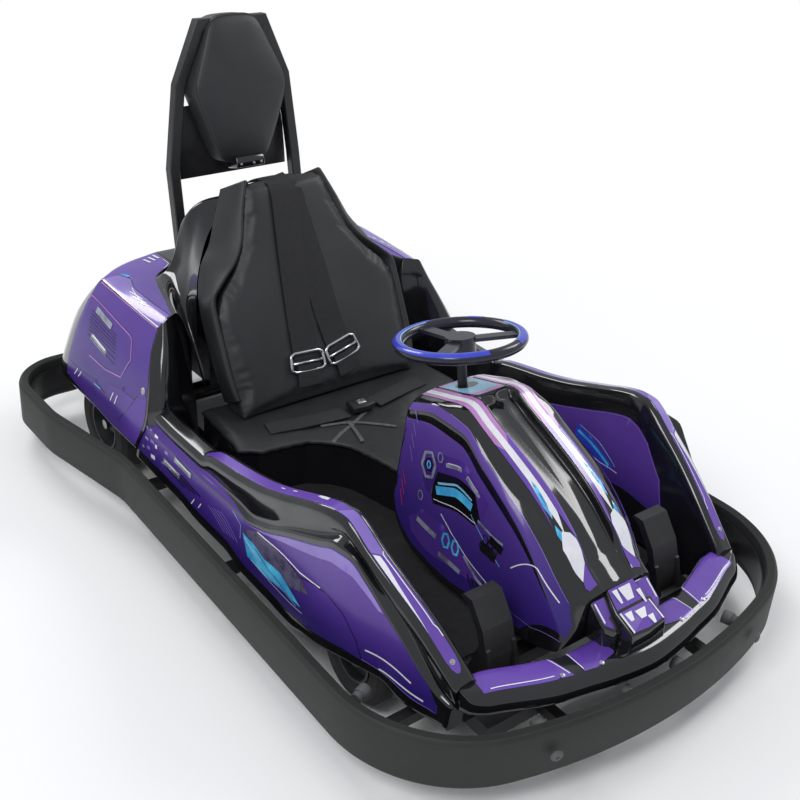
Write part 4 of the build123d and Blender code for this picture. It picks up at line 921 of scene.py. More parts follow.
def rounded_corner(a, b, c, radius, count):
    """Points that replace corner b with an arc of a radius."""
    a, b, c = Vector(a), Vector(b), Vector(c)
    u, v = (a - b).normalized(), (c - b).normalized()
    half = u.angle(v) / 2
    reach = radius / math.tan(half)
    start, end = b + u * reach, b + v * reach
    return [tuple(start * (1 - t) ** 2 + b * 2 * t * (1 - t) + end * t * t)
            for t in [k / count for k in range(count + 1)]]


def tangent_arc(a, b, direction, count):
    """Arc from a to b that leaves a along a direction, without the last point."""
    a, b, d = Vector(a), Vector(b), Vector(direction).normalized()
    chord = b - a
    n = Vector((-d.y, d.x))
    k = chord.length_squared / (2 * chord.dot(n))
    centre = a + n * k
    start = math.atan2(a.y - centre.y, a.x - centre.x)
    end = math.atan2(b.y - centre.y, b.x - centre.x)
    if k > 0 and end < start:
        end += 2 * math.pi
    if k < 0 and end > start:
        end -= 2 * math.pi
    turn = [start + (end - start) * j / count for j in range(count)]
    return [(centre.x + abs(k) * math.cos(t), centre.y + abs(k) * math.sin(t)) for t in turn]


def belt_plan():
    """Plan of the belt's outer face, from the front right corner round."""
    nose = arc_through((880, -370), (934, 0), (880, 370), 36)
    centre_x = (880**2 + 370**2 - 934**2) / (2 * (880 - 934))
    leave = (-370, 880 - centre_x)
    left = [*tangent_arc((880, 370), (584, 585), leave, 24), (584, 585)]
    left += [(450, 580.8), (300, 576.1), (150, 571.5), (0, 566.8), (-150, 562.1), (-250, 559)]
    left += rounded_corner((584, 585), (-345, 556), (-640, 612), 260, 6)
    left += rounded_corner((-345, 556), (-640, 612), (-790, 612), 260, 6)
    left += arc_through((-790, 612), (-891, 569), (-934, 468), 18)
    left += [(-934, 468 - 78 * k) for k in range(7)]
    right = [(x, -y) for x, y in reversed(left[:-1])]
    return nose + left + right[:-1]


BELT_SECTION = [(0, 70), (0, 168), (-2, 174), (-7, 178)]
for k in range(6):
    g = -8.5 - k * 2.2
    BELT_SECTION += [(g, 178), (g - 0.5, 177.2), (g - 1.0, 177.2), (g - 1.5, 178)]
BELT_SECTION += [(-22, 178), (-25.5, 175), (-27, 169), (-27, 69), (-22, 62), (-14, 60), (-5, 62)]


def sweep_ring(name, plan, section, material):
    """Closed sweep of an (outward, z) section along a plan."""
    count, width = len(plan), len(section)
    verts, faces = [], []
    for i, (x, y) in enumerate(plan):
        (ax, ay), (bx, by) = plan[i - 1], plan[(i + 1) % count]
        t = Vector((bx - ax, by - ay)).normalized()
        n = Vector((t.y, -t.x))
        verts += [Vector((x + n.x * o, y + n.y * o, z)) * MM for o, z in section]
    for i in range(count):
        a, b = i * width, ((i + 1) % count) * width
        for k in range(width):
            m = (k + 1) % width
            faces.append((a + k, b + k, b + m, a + m))
    return sharpen(new_object(name, verts, faces, material), 35)


belt = sweep_ring("belt_shell", belt_plan(), BELT_SECTION, "rubber")
finish_piece(belt, replaces=("bumper_belt",))

# Upholstery. The backrest and the cushion are blown up as leatherette from a slightly smaller copy
# of their foam blocks, and their movement is capped.


def remeshed(name, source, voxel, shrink):
    """Even quad mesh of a closed block, moved inwards a little."""
    build = bmesh.new()
    build.from_mesh(source)
    bmesh.ops.remove_doubles(build, verts=build.verts[:], dist=1e-5)
    build.normal_update()
    mesh = bpy.data.meshes.new(name)
    build.to_mesh(mesh)
    build.free()
    obj = link(bpy.data.objects.new(name, mesh))
    remesh = obj.modifiers.new("remesh", "REMESH")
    remesh.mode = "VOXEL"
    remesh.voxel_size = voxel
    relax = obj.modifiers.new("relax", "SMOOTH")
    relax.factor = 0.5
    relax.iterations = 4
    shrunk = obj.modifiers.new("shrink", "DISPLACE")
    shrunk.strength = -shrink
    shrunk.mid_level = 0.0
    baked = evaluated(obj, name)
    bpy.data.objects.remove(obj)
    return baked


def evaluated(obj, name):
    """Object that holds the mesh as its modifiers leave it."""
    graph = bpy.context.evaluated_depsgraph_get()
    mesh = bpy.data.meshes.new_from_object(obj.evaluated_get(graph))
    mesh.name = name
    return link(bpy.data.objects.new(name, mesh))


CLOTH_FRAMES = 20
PAD_VOXEL = 0.007
PAD_SHRINK = 0.003
PAD_PRESSURE = 4.0


def puffed(name, node, cap):
    """Padded piece from a foam block: remeshed and blown up as cloth, no further than the cap."""
    obj = remeshed(name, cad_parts[node].data, PAD_VOXEL, PAD_SHRINK)
    rest = [v.co.copy() for v in obj.data.vertices]
    cloth = obj.modifiers.new("cloth", "CLOTH")
    settings = cloth.settings
    settings.quality = 6
    settings.mass = 0.3
    settings.tension_stiffness = 25
    settings.compression_stiffness = 25
    settings.shear_stiffness = 10
    settings.bending_stiffness = 2
    settings.use_pressure = True
    settings.uniform_pressure_force = PAD_PRESSURE
    settings.effector_weights.gravity = 0
    cloth.point_cache.frame_start = 1
    cloth.point_cache.frame_end = CLOTH_FRAMES
    for number in range(1, CLOTH_FRAMES + 1):
        scene.frame_set(number)
    moved = evaluated(obj, name + "_moved")
    for vert, after, start in zip(obj.data.vertices, moved.data.vertices, rest):
        step = after.co - start
        if step.length > cap:
            step *= cap / step.length
        vert.co = start + step
    obj.modifiers.remove(cloth)
    old = moved.data
    bpy.data.objects.remove(moved)
    bpy.data.meshes.remove(old)
    scene.frame_set(1)
    return obj


def dress(obj):
    """Smooth leatherette all over."""
    obj.data.materials.clear()
    obj.data.materials.append(M["leather"])
    smooth_faces(obj.data)
    return obj


BACK_LEAN = math.radians(27)
BACK_FOOT = (-236, 240.6)


def back_point(across, up, depth=0.0):
    """Point on the backrest's face: across to the left, up the face, out of it, in mm."""
    return Vector((
        BACK_FOOT[0] - math.sin(BACK_LEAN) * up + math.cos(BACK_LEAN) * depth,
        across,
        BACK_FOOT[1] + math.cos(BACK_LEAN) * up + math.sin(BACK_LEAN) * depth,
    ))


BACK_NORMAL = (back_point(0, 0, 1) - back_point(0, 0, 0)).normalized()


DROP_REACH = 200


def laid(obj, points, direction):
    """Points dropped on an object along a direction, with normals, where they meet it."""
    tree = BVHTree.FromPolygons(
        [v.co.copy() for v in obj.data.vertices], [tuple(p.vertices) for p in obj.data.polygons]
    )
    found = []
    for p in points:
        hit, normal, _, _ = tree.ray_cast(Vector(p) * MM, Vector(direction), DROP_REACH * MM)
        if hit:
            found.append((hit / MM, normal))
    for _ in range(2):
        middle = [((a[0] + b[0] * 2 + c[0]) / 4, b[1])
                  for a, b, c in zip(found, found[1:], found[2:])]
        found = [found[0], *middle, found[-1]] if len(found) > 2 else found
    return found


def catmull(a, b, c, d, t):
    """Catmull-Rom curve between b and c."""
    return 0.5 * ((2 * b) + (c - a) * t + (2 * a - 5 * b + 4 * c - d) * t * t
                  + (3 * b - a - 3 * c + d) * t**3)


def curve_points(points, step):
    """Smooth curve through points (Catmull-Rom), at about even steps."""
    pts = [Vector(p) for p in points]
    out = []
    for i in range(len(pts) - 1):
        a = pts[max(i - 1, 0)]
        b, c = pts[i], pts[i + 1]
        d = pts[min(i + 2, len(pts) - 1)]
        count = max(int((c - b).length / step), 1)
        for k in range(count):
            out.append(catmull(a, b, c, d, k / count))
    out.append(pts[-1])
    return out


def ribbon(name, found, width, thickness, material, crown, columns=6):
    """Closed strap along (point, normal) pairs, lying on the surface."""
    count = len(found)
    verts = []
    for i, (p, n) in enumerate(found):
        t = (found[min(i + 1, count - 1)][0] - found[max(i - 1, 0)][0]).normalized()
        side = n.cross(t).normalized()
        up = t.cross(side).normalized()
        if up.dot(n) < 0:
            up = -up
        row = []
        for k in range(columns + 1):
            s = -1 + 2 * k / columns
            lift = thickness + crown * (1 - s * s)
            row.append(p + side * (s * width / 2) + up * lift)
        for k in range(columns, -1, -1):
            s = -1 + 2 * k / columns
            row.append(p + side * (s * width / 2 * 0.98) + up * (crown * (1 - s * s) - 0.6))
        verts += [v * MM for v in row]
    faces = ring_faces(count, 2 * (columns + 1))
    return sharpen(turn_out(new_object(name, verts, faces, material)), 50)


# Backrest: the puffed panel's head is drawn up to its full height again

BACK_UP = (back_point(0, 1) - back_point(0, 0)).normalized()
HEAD_FROM = 430
HEAD_STRETCH = 0.085
backrest = dress(puffed("backrest_pad", "seat_backrest", 0.012))
for vert in backrest.data.vertices:
    rise = (vert.co / MM - back_point(0, 0)).dot(BACK_UP) - HEAD_FROM
    if rise > 0:
        vert.co += BACK_UP * (rise * HEAD_STRETCH) * MM
finish_piece(backrest, replaces=("seat_backrest",))


# Wings: crowned side bands that run back from the panel's seam. Points are (across, up).

WING_FRONT = [(113, 588), (141, 518), (163, 447), (194, 398), (226, 369), (253, 345), (277, 318),
              (281, 270),
              (281, 208), (281, 145), (278, 90), (274, 62)]
WING_BACK = [(144, 582), (177, 520), (211, 455), (246, 409), (268, 358), (277, 318), (280, 280),
             (281, 238),
             (280, 180), (278, 130), (275, 86), (272, 62)]


def spline(points, count):
    """Even number of points on a smooth curve through points."""
    out = []
    for k in range(count + 1):
        at = k / count * (len(points) - 1)
        i = min(int(at), len(points) - 2)
        t = at - i
        a, b = points[max(i - 1, 0)], points[i]
        c, d = points[i + 1], points[min(i + 2, len(points) - 1)]
        out.append(tuple(catmull(*four, t) for four in zip(a, b, c, d)))
    return out


WING_STEPS = 66
WING_SHARES = (0.12, 0.35, 0.65, 0.9)
FOLD_ANGLE = 1.2
for side, sign in (("left", 1), ("right", -1)):
    front, rear = spline(WING_FRONT, WING_STEPS), spline(WING_BACK, WING_STEPS)
    verts = []
    for (fy, fu), (by, bu) in zip(front, rear):
        mix = [(fy + (by - fy) * t, fu + (bu - fu) * t) for t in WING_SHARES]
        ring = [
            (fy - 12, fu, -5), (fy - 6, fu, -0.5), (fy - 1.5, fu, -0.2), (fy + 1.5, fu, -3),
            (mix[0][0] + 3.5, mix[0][1], -10), (mix[1][0] + 6, mix[1][1], -26),
            (mix[2][0] + 6, mix[2][1], -49), (mix[3][0] + 3, mix[3][1], -67),
            (by, bu, -74), (by - 8, bu - 3, -76), (by - 26, bu - 6, -74), (fy - 34, fu - 6, -40),
        ]
        verts += [back_point(y * sign, up, d) * MM for y, up, d in ring]
    faces = ring_faces(len(front), len(ring))
    wing = new_object(f"bolster_pad_{side}", verts, faces, "leather")
    build = bmesh.new()
    build.from_mesh(wing.data)
    bmesh.ops.recalc_face_normals(build, faces=build.faces[:])
    ends = [e for e in build.edges if len(e.link_faces) == 2 and e.calc_face_angle() > FOLD_ANGLE
            and max(len(f.verts) for f in e.link_faces) > 4]
    bmesh.ops.bevel(build, geom=ends, offset=4 * MM, segments=3, affect="EDGES", profile=0.5)
    build.to_mesh(wing.data)
    build.free()
    sharpen(wing, 70)
    finish_piece(wing, replaces=(f"seat_bolster_{side}",))

# Cushion

cushion = dress(puffed("cushion_pad", "seat_cushion", 0.010))
finish_piece(cushion, replaces=("seat_cushion",))

# Headrest pad: a crowned face, a welted seam and a side band down to its back

PAD_HALF = [(0, 1112), (48, 1110), (72, 1096), (94, 1046), (131, 962), (136, 938), (127, 904),
            (78, 770), (62, 748),
            (0, 742)]
PAD_RINGS = [
    # share of the outline, depth forward of the seam
    (0.16, 11), (0.36, 10.4), (0.56, 9), (0.74, 6.6), (0.87, 3.6), (0.95, 0.4), (0.975, -2.2),
    (0.985, -3.4),
    (0.999, -6), (1.02, -20), (1.05, -40), (1.055, -52), (1.03, -60), (0.97, -63), (0.5, -63),
    (0.1, -63),
]
HEAD_NORMAL = Vector((1.0, 0.0, 0.17)).normalized()
HEAD_KNEE = 935
HEAD_MIDDLE = 930


def head_point(y, z, depth):
    """Point of the headrest pad's outline, which curves back towards its top."""
    lean = 0.077 if z < HEAD_KNEE else 0.286
    x = -697 - (z - HEAD_KNEE) * lean - 6 * math.exp(-abs(z - HEAD_KNEE) / 30)
    return Vector((x + 6, y, z)) + HEAD_NORMAL * depth


def head_ring(loop, share, depth):
    """The outline at a share of its width and, up to 1, of its height."""
    tall = min(share, 1.0)
    return [head_point(y * share, HEAD_MIDDLE + (z - HEAD_MIDDLE) * tall, depth) for y, z in loop]


loop = PAD_HALF + [(-y, z) for y, z in PAD_HALF[-2:0:-1]]
for _ in range(3):
    loop = [p for a, b in zip(loop, loop[1:] + loop[:1])
            for p in ((a[0] * 0.75 + b[0] * 0.25, a[1] * 0.75 + b[1] * 0.25),
                      (a[0] * 0.25 + b[0] * 0.75, a[1] * 0.25 + b[1] * 0.75))]
verts = [p * MM for share, depth in PAD_RINGS for p in head_ring(loop, share, depth)]
faces = ring_faces(len(PAD_RINGS), len(loop))
head_pad = turn_out(new_object("headrest_pad", verts, faces, "leather"))
finish_piece(head_pad, replaces=("headrest",))
welts = []
for share, depth in ((0.985, -3.2), (1.008, -12)):
    ring = head_ring(loop, share, depth)
    welts.append(tube(f"head_welt_{len(welts)}", ring, 1.0, "thread", 6, closed=True))
finish_piece(join("headrest_welts", welts))

# Headrest hoop: square tube with mitred bends, the plate behind it and the pad's bracket


def bar(name, points, normal, width, material, edge=2.5):
    """Square tube along points; the normal points out of the plane that it bends in."""
    pts = [Vector(p) for p in points]
    normal = Vector(normal).normalized()
    w = width / 2
    section = [(w, w - edge), (w - edge, w), (edge - w, w), (-w, w - edge), (-w, edge - w),
               (edge - w, -w), (w - edge, -w), (w, edge - w)]
    verts = []
    for i, p in enumerate(pts):
        before = (p - pts[i - 1]).normalized() if i else (pts[1] - p).normalized()
        after = (pts[i + 1] - p).normalized() if i < len(pts) - 1 else before
        run = (before + after).normalized()
        side = normal.cross(run).normalized()
        grow = 1 / max(run.dot(before), 0.4)
        up = run.cross(side).normalized()
        verts += [(p + side * (a * grow) + up * b) * MM for a, b in section]
    faces = ring_faces(len(pts), len(section))
    return sharpen(turn_out(new_object(name, verts, faces, material)), 30)


HOOP = [(-690, 186, 82), (-690, 186, 505), (-737, 184, 731), (-751, 156, 943), (-760, 92, 1088)]
hoop_path = HOOP + [(x, -y, z) for x, y, z in HOOP[::-1]]
hoop = bar("hoop_tube", hoop_path, (1, 0, 0.1), 28, "satin")
finish_piece(hoop, replaces=("headrest_frame",))
plate_outline = [(-150, 884), (150, 884), (165, 800), (172, 738), (176, 690), (-176, 690),
                 (-172, 738), (-165, 800)]
plate = prism("rear_plate", plate_outline, -765, -760, "satin", 1, axis="x")
finish_piece(plate, replaces=("headrest_plate",))
bracket_outline = [(-712, 742), (-712, 762), (-660, 764), (-652, 752), (-652, 738), (-700, 724)]
bracket = [prism("pad_bracket", bracket_outline, -42, 42, "gloss", 3)]
for k, (y, z) in enumerate(((-30, 747), (8, 746), (30, 747))):
    bracket.append(bolt(f"bracket_bolt_{k}", (-651.5, y, z), (1, 0, 0.1), 4))
for k, y in enumerate((-152, 152)):
    bracket.append(bolt(f"plate_bolt_{k}", (-758, y, 852), (1, 0, 0), 8))
finish_piece(join("pad_bracket_set", bracket))

# Harness: two shoulder straps with bar adjusters, and a lap belt with its buckle

STRAPS = {
    "left": [(6, 582), (3, 513), (18, 353), (30, 192), (42, 128)],
    "right": [(-22, 586), (-18, 545), (-39, 379), (-58, 203), (-64, 122)],
}
WEB_THICK = 2.2
LOOP_BACK = [
    # from the strap's top edge: back and down, with the strap's normal there
    ((-56, 0, -27), (-0.8, 0, 1)), ((-40, 0, -16), (-0.4, 0, 1)),
    ((-18, 0, -5), (-0.2, 0, 1)), ((-4, 0, 0), (0.5, 0, 1)),
]
ADJUSTER = [(-46, -26), (46, -26), (50, 22), (-50, 22)]
for side, lift in (("left", 0.6), ("right", 3.4)):
    path = [back_point(y, up, 90) for y, up in STRAPS[side]]
    lie = laid(backrest, curve_points(path, 10), -BACK_NORMAL)
    count = len(lie)
    lie = [(p + n * (0.6 + (lift - 0.6) * min(1, 1.6 - 1.6 * i / count)), n)
           for i, (p, n) in enumerate(lie)]
    top = lie[0][0]
    lie = [(top + Vector(p), Vector(m).normalized()) for p, m in LOOP_BACK] + lie
    strap = ribbon(f"strap_{side}", lie, 74, WEB_THICK, "web", 0.8)
    finish_piece(strap, replaces=(f"shoulder_strap_{side}",))
    # hem of the doubled webbing above the adjuster
    doubled = [(p + n * WEB_THICK, n) for p, n in lie[-9:]]
    hem = ribbon(f"strap_hem_{side}", doubled, 72, WEB_THICK, "web", 0.8)
    (end, n), (before, _) = lie[-1], lie[-4]
    run = (end - before).normalized()
    across_run = n.cross(run).normalized()
    centre = end + run * 10 + n * 6
    outer = []
    for k, (a, b) in enumerate(ADJUSTER):
        c, d = ADJUSTER[(k + 1) % 4]
        for t in (0.12, 0.3, 0.5, 0.7, 0.88):
            outer.append(centre + across_run * (a + (c - a) * t) + run * (b + (d - b) * t) + n * 1.0)
    middle = [centre + across_run * s + n * 3 for s in (-44, 0, 44)]
    slide = [
        tube(f"adjuster_{side}", outer, 4.2, "steel", closed=True),
        tube(f"adjuster_bar_{side}", middle, 4, "steel"),
    ]
    tail = [(centre + run * (6 + 6 * k) + n * (4 - k), n) for k in range(10)]
    lower = ribbon(f"strap_tail_{side}", tail, 68, WEB_THICK, "web", 1.2)
    finish_piece(join(f"adjuster_set_{side}", slide))
    finish_piece(join(f"strap_ends_{side}", [hem, lower]))

LAPS = {
    "right": [(-186, -238, 300), (-176, -196, 300), (-160, -140, 300), (-150, -84, 300),
              (-146, -30, 300)],
    "left": [(-186, 238, 300), (-180, 200, 300), (-172, 160, 300), (-160, 112, 300),
             (-150, 60, 300)],
}
for side, path in LAPS.items():
    lie = laid(cushion, curve_points(path, 8), (0, 0, -1))
    lie = [(p + n * (0.6 + 5 * math.sin(0.09 * i) ** 2), n) for i, (p, n) in enumerate(lie)]
    lap = ribbon(f"lap_strap_{side}", lie, 50, WEB_THICK, "web", 1.4)
    finish_piece(lap, replaces=(f"lap_belt_{side}",))

# Buckle where the lap belt's left strap ends, and thin straps that cross the cushion

seat_top = lie[-1][0]
buckle = [
    prism("buckle_case", [(-24, -30), (20, -34), (26, 0), (20, 34), (-24, 30)], 0, 17,
          "plastic", 4, axis="z"),
    prism("buckle_push", [(-10, -12), (10, -12), (10, 12), (-10, 12)], 14, 20,
          "steel", 2, axis="z"),
]
for part in buckle:
    for vert in part.data.vertices:
        vert.co += Vector((seat_top.x + 4, seat_top.y - 46, seat_top.z + 1)) * MM
finish_piece(join("buckle", buckle))
THIN_PATHS = [
    [(-60, -150, 330), (-90, -60, 330), (-130, 20, 330)],
    [(-128, -120, 330), (-100, -40, 330), (-30, 40, 330)],
    [(-20, -70, 330), (-110, -50, 330)],
]
crossing = []
for k, path in enumerate(THIN_PATHS):
    lie = laid(cushion, curve_points(path, 8), (0, 0, -1))
    lie = [(p + n * (0.5 + 1.2 * k), n) for p, n in lie]
    crossing.append(ribbon(f"thin_strap_{k}", lie, 9, 1.2, "grommet", 0.2, 2))
finish_piece(join("thin_straps", crossing))

# Seams of the backrest

SEAM_LINES = [spline([(y + o, up) for y, up in WING_FRONT], 60) for o in (-3, -11)]
for side, sign in (("left", 1), ("right", -1)):
    lines = []
    for k, line in enumerate(SEAM_LINES):
        path = [back_point(y * sign, up, 90) for y, up in line[:-2]]
        lie = laid(backrest, path, -BACK_NORMAL)
        line = [p + n * 0.3 for p, n in lie]
        lines.append(tube(f"back_seam_{side}_{k}", line, 1.3, "thread", 6))
    finish_piece(join(f"back_seams_{side}", lines))

# Prints: stripes, coloured films and small generic motifs, as (u, v) outlines on the shells

def prints(name, shell, table, turn=None, lift=0.6):
    """Table rows: (material, width or 0 for an area, points). Later rows lie higher."""
    made = []
    for i, (material, width, points) in enumerate(table):
        points = [turn(p) for p in points] if turn else list(points)
        high = lift + math.copysign(0.12 * (i % 5), lift)
        if width:
            high += math.copysign(0.5, lift)
            made.append(shell.stripe(f"{name}_{i}", points, width, material, high))
        else:
            # u is millimetres on some shells and a station's number on the others
            span = max(p[0] for p in points) - min(p[0] for p in points)
            du = 12.0 if span > 20 else 0.1
            made.append(shell.patch(f"{name}_{i}", points, material, high, du, 0.1))
    return finish_piece(join(name, made))


def dashes(material, width, start, end, step, count):
    """Rows of a table for equal strokes, each moved on by a step."""
    return [(material, width, [(start[0] + step[0] * k, start[1] + step[1] * k),
                               (end[0] + step[0] * k, end[1] + step[1] * k)]) for k in range(count)]


MOTIF_TURN = 0.3
MOTIF_V_PER_MM = 0.0042


def hexagon(u, v, radius, width, material):
    """Row of a table for a small hexagon ring around a point of the fairing."""
    angles = [MOTIF_TURN + 2 * math.pi * k / 6 for k in range(7)]
    loop = [(u + math.cos(a) * radius * 1.0,
             v + math.sin(a) * radius * MOTIF_V_PER_MM) for a in angles]
    return (material, width, loop)


SIDE_FILMS = [
    ("panel", 0, [(-377, 2.06), (232, 2.05), (384, 2.05), (581, 2.04), (716, 2.02), (712, 2.5),
                  (690, 2.94),
                  (572, 2.94), (478, 2.94), (300, 2.94), (108, 2.94), (3, 3.9), (-105, 4.75),
                  (-245, 5.4),
                  (-377, 5.6)]),
    ("violet", 0, [(-104, 7.2), (-100, 7.09), (-60, 7.07), (700, 7.07), (714, 7.14), (722, 7.3),
                   (725, 7.5),
                   (722, 7.7), (714, 7.86), (700, 7.93), (-40, 7.93), (-78, 7.88), (-98, 7.7),
                   (-105, 7.45)]),
]
SIDE_PRINTS = [
    ("light", 0, [(108, 2.93), (478, 2.93), (572, 2.93), (560, 2.86), (478, 2.80), (300, 2.84),
                  (180, 2.9)]),
    ("gloss", 1.6, [(300, 2.62), (333, 2.54), (386, 2.54), (421, 2.5), (475, 2.4), (517, 2.23),
                    (536, 2.06)]),
    ("smoke", 0, [(102, 2.76), (161, 2.9), (240, 2.72), (343, 2.52), (365, 2.4), (301, 2.35),
                  (212, 2.46), (150, 2.62)]),
    ("cyan", 0, [(106, 2.68), (147, 2.63), (202, 2.48), (261, 2.44), (345, 2.21), (285, 2.24),
                 (207, 2.22),
                 (135, 2.3)]),
    ("sky", 6, [(114, 2.62), (150, 2.5), (190, 2.42)]),
    ("blue", 0, [(250, 2.42), (345, 2.21), (285, 2.23), (230, 2.28)]),
    ("gloss", 1.6, [(160, 2.56), (220, 2.36), (300, 2.24)]),
    ("sky", 2, [(140, 2.5), (200, 2.32), (262, 2.26)]),
    ("sky", 1.5, [(170, 2.34), (262, 2.28), (330, 2.19)]),
    ("white", 1.2, [(150, 2.30), (235, 2.20), (352, 2.16)]),
    ("white", 3.4, [(163.5, 2.88), (234, 2.76), (332, 2.59), (405.6, 2.53)]),
    ("white", 3.6, [(542, 2.2), (600, 2.3), (653, 2.42)]),
    ("white", 3.6, [(579, 2.07), (625, 2.12), (684, 2.22)]),
    ("light", 1.4, [(536, 2.06), (640, 2.05), (712, 2.05)]),
    ("white", 3.0, [(-95.6, 2.3), (-106, 2.09)]), ("white", 3.0, [(-67, 2.35), (-76, 2.18)]),
    ("grey", 14, [(-250, 2.5), (-170, 2.46)]), ("grey", 14, [(-203, 2.86), (-124, 2.81)]),
    ("white", 3, [(-244, 2.53), (-176, 2.5)]), ("white", 3, [(-197, 2.89), (-130, 2.84)]),
    ("sky", 1.4, [(60, 2.9), (96, 2.78), (100, 2.5)]),
]
SIDE_PRINTS += dashes("light", 1.6, (-37, 2.49), (41, 2.2), (13, 0.035), 5)
SIDE_PRINTS += dashes("gloss", 3.0, (-232, 2.36), (-140, 2.3), (22, 0.07), 4)
STRIP_PRINTS = [
    ("white", 0, [(504, 7.12), (512, 7.5), (528, 7.52), (566, 7.36), (614, 7.2), (655, 7.1),
                  (612, 7.09), (566, 7.09)]),
    ("light", 0, [(400, 7.1), (440, 7.1), (500, 7.1), (508, 7.5), (520, 7.9), (470, 7.9),
                  (420, 7.9)]),
    ("white", 2.2, [(508, 7.9), (512, 7.74), (548, 7.76), (586, 7.76), (646, 7.74), (654, 7.86),
                    (668, 7.88)]),
    ("white", 0, [(317, 7.72), (322, 7.88), (350, 7.9), (352, 7.64), (335, 7.6)]),
    ("white", 3.0, [(199, 7.55), (213, 7.55)]), ("white", 3.0, [(238, 7.64), (251, 7.66)]),
]
WALL_PRINTS = [
    ("panel", 0, [(-30, 10.5), (60, 10.26), (145, 10.16), (398, 10.1), (470, 10.14), (532, 10.27),
                  (557, 10.5),
                  (548, 10.62), (402, 10.68), (225, 10.64), (20, 10.62)]),
    ("blue", 0, [(244, 10.3), (300, 10.38), (393, 10.56), (380, 10.6), (300, 10.54), (250, 10.42)]),
    ("cyan", 7, [(256, 10.36), (310, 10.44), (380, 10.56)]),
    ("gloss", 2, [(262, 10.44), (330, 10.54)]),
    ("sky", 1.6, [(256, 10.3), (330, 10.4), (400, 10.54)]),
    ("white", 1.6, [(270, 10.5), (350, 10.57), (410, 10.58)]),
    ("light", 1.4, [(-26, 10.49), (60, 10.27), (145, 10.17), (398, 10.11), (470, 10.15),
                    (530, 10.28), (554, 10.49)]),
]
SHARDS = [(0, 0), (22, 0.1), (45, -0.05), (66, 0.12), (10, 0.34), (34, 0.4), (58, 0.36), (82, 0.42),
          (0, 0.66), (26, 0.72), (50, 0.68), (74, 0.74), (96, 0.1), (104, 0.5)]
for side, shell in side_shells.items():
    prints(f"side_film_{side}", shell, SIDE_FILMS, lift=0.4)
    shards = []
    for k, (du, dv) in enumerate(SHARDS):
        u, v = -352 + du, 2.24 + dv
        w, h = 9 + 5 * (k % 3), 0.09 + 0.03 * (k % 4)
        shards.append((("grey", "light", "white", "deep")[k % 4], 0,
                       [(u, v), (u + w, v + h * 0.2), (u + w * 0.8, v + h), (u - 3, v + h * 0.7)]))
    prints(f"side_print_{side}", shell, SIDE_PRINTS + shards, lift=0.9)
    prints(f"strip_print_{side}", shell, STRIP_PRINTS, lift=0.9)
    prints(f"wall_print_{side}", shell, WALL_PRINTS, lift=0.5)

HAUNCH_FILMS = [
    ("violet", 0, [(0.05, 0.06), (0.05, 1.94), (4.1, 1.96), (4.3, 1.4), (4.2, 0.6), (3.95, 0.06)]),
    ("flank", 0, [(0.06, 2.06), (4.25, 2.06), (4.42, 3.0), (4.45, 4.0), (4.42, 4.9), (3.65, 4.94),
                  (3.06, 4.92),
                  (2.0, 4.87), (1.41, 4.95), (1.28, 4.67), (0.79, 4.6), (0.39, 4.62), (0.19, 4.25),
                  (0.06, 4.4)]),
    ("deep", 0, [(4.41, 4.9), (3.65, 4.95), (3.06, 4.93), (2.01, 4.88), (1.41, 4.96), (1.28, 4.68),
                 (0.79, 4.61),
                 (0.39, 4.63), (0.19, 4.26), (0.06, 4.42), (0.06, 5.9), (2.2, 5.92), (4.3, 5.6)]),
]
HAUNCH_PRINTS = [
    ("light", 0, [(3.93, 1.94), (3.5, 1.47), (1.8, 1.17), (1.05, 0.82), (0.06, 0.3), (0.06, 1.9)]),
    ("gloss", 2.0, [(3.62, 1.5), (3.3, 1.38), (1.8, 1.17), (1.05, 0.82), (0.08, 0.3)]),
    ("white", 3.2, [(3.93, 1.96), (2.0, 1.95), (0.08, 1.93)]),
    ("mauve", 2.2, [(3.9, 2.06), (2.0, 2.05), (0.1, 2.04)]),
    ("cyan", 9.0, [(3.45, 1.42), (3.0, 1.32)]), ("sky", 3.0, [(3.3, 1.36), (2.6, 1.28)]),
    ("white", 3.0, [(1.9, 1.5), (1.4, 1.24)]), ("white", 3.0, [(1.66, 1.56), (1.2, 1.22)]),
    ("white", 2.4, [(1.35, 1.5), (1.05, 1.2)]), ("white", 2.0, [(2.0, 1.3), (1.2, 1.42)]),
    ("white", 7.0, [(3.72, 0.5), (3.37, 0.46)]), ("white", 7.0, [(3.76, 0.34), (3.4, 0.3)]),
    ("white", 7.0, [(3.8, 0.19), (3.45, 0.16)]), ("white", 2.0, [(3.3, 0.1), (2.5, 0.08)]),
    ("mauve", 2.4, [(4.21, 2.97), (4.11, 2.8), (3.0, 2.88), (2.11, 2.98), (1.09, 3.1), (0.93, 3.19),
                    (0.74, 3.8),
                    (0.93, 4.37), (1.62, 4.47), (2.82, 4.47)]),
    ("gloss", 1.4, [(0.79, 5.6), (0.6, 5.1), (0.37, 4.56), (0.08, 4.44)]),
    ("white", 3.2, [(3.37, 4.95), (3.56, 5.3)]), ("white", 3.2, [(3.09, 4.95), (3.27, 5.25)]),
    ("white", 3.2, [(1.06, 4.79), (1.13, 5.02)]), ("white", 3.2, [(0.89, 4.78), (0.94, 5.0)]),
    ("cyan", 3.0, [(2.09, 4.95), (1.69, 4.94)]),
] + dashes("gloss", 2.0, (3.6, 3.3), (1.6, 3.46), (-0.04, 0.11), 8) + [
    ("grey", 17, [(3.3, 3.16), (1.93, 3.31)]), ("grey", 17, [(3.07, 4.05), (1.82, 4.14)]),
    ("white", 5, [(3.2, 3.12), (2.0, 3.27)]), ("white", 5, [(2.97, 4.01), (1.9, 4.1)]),
]
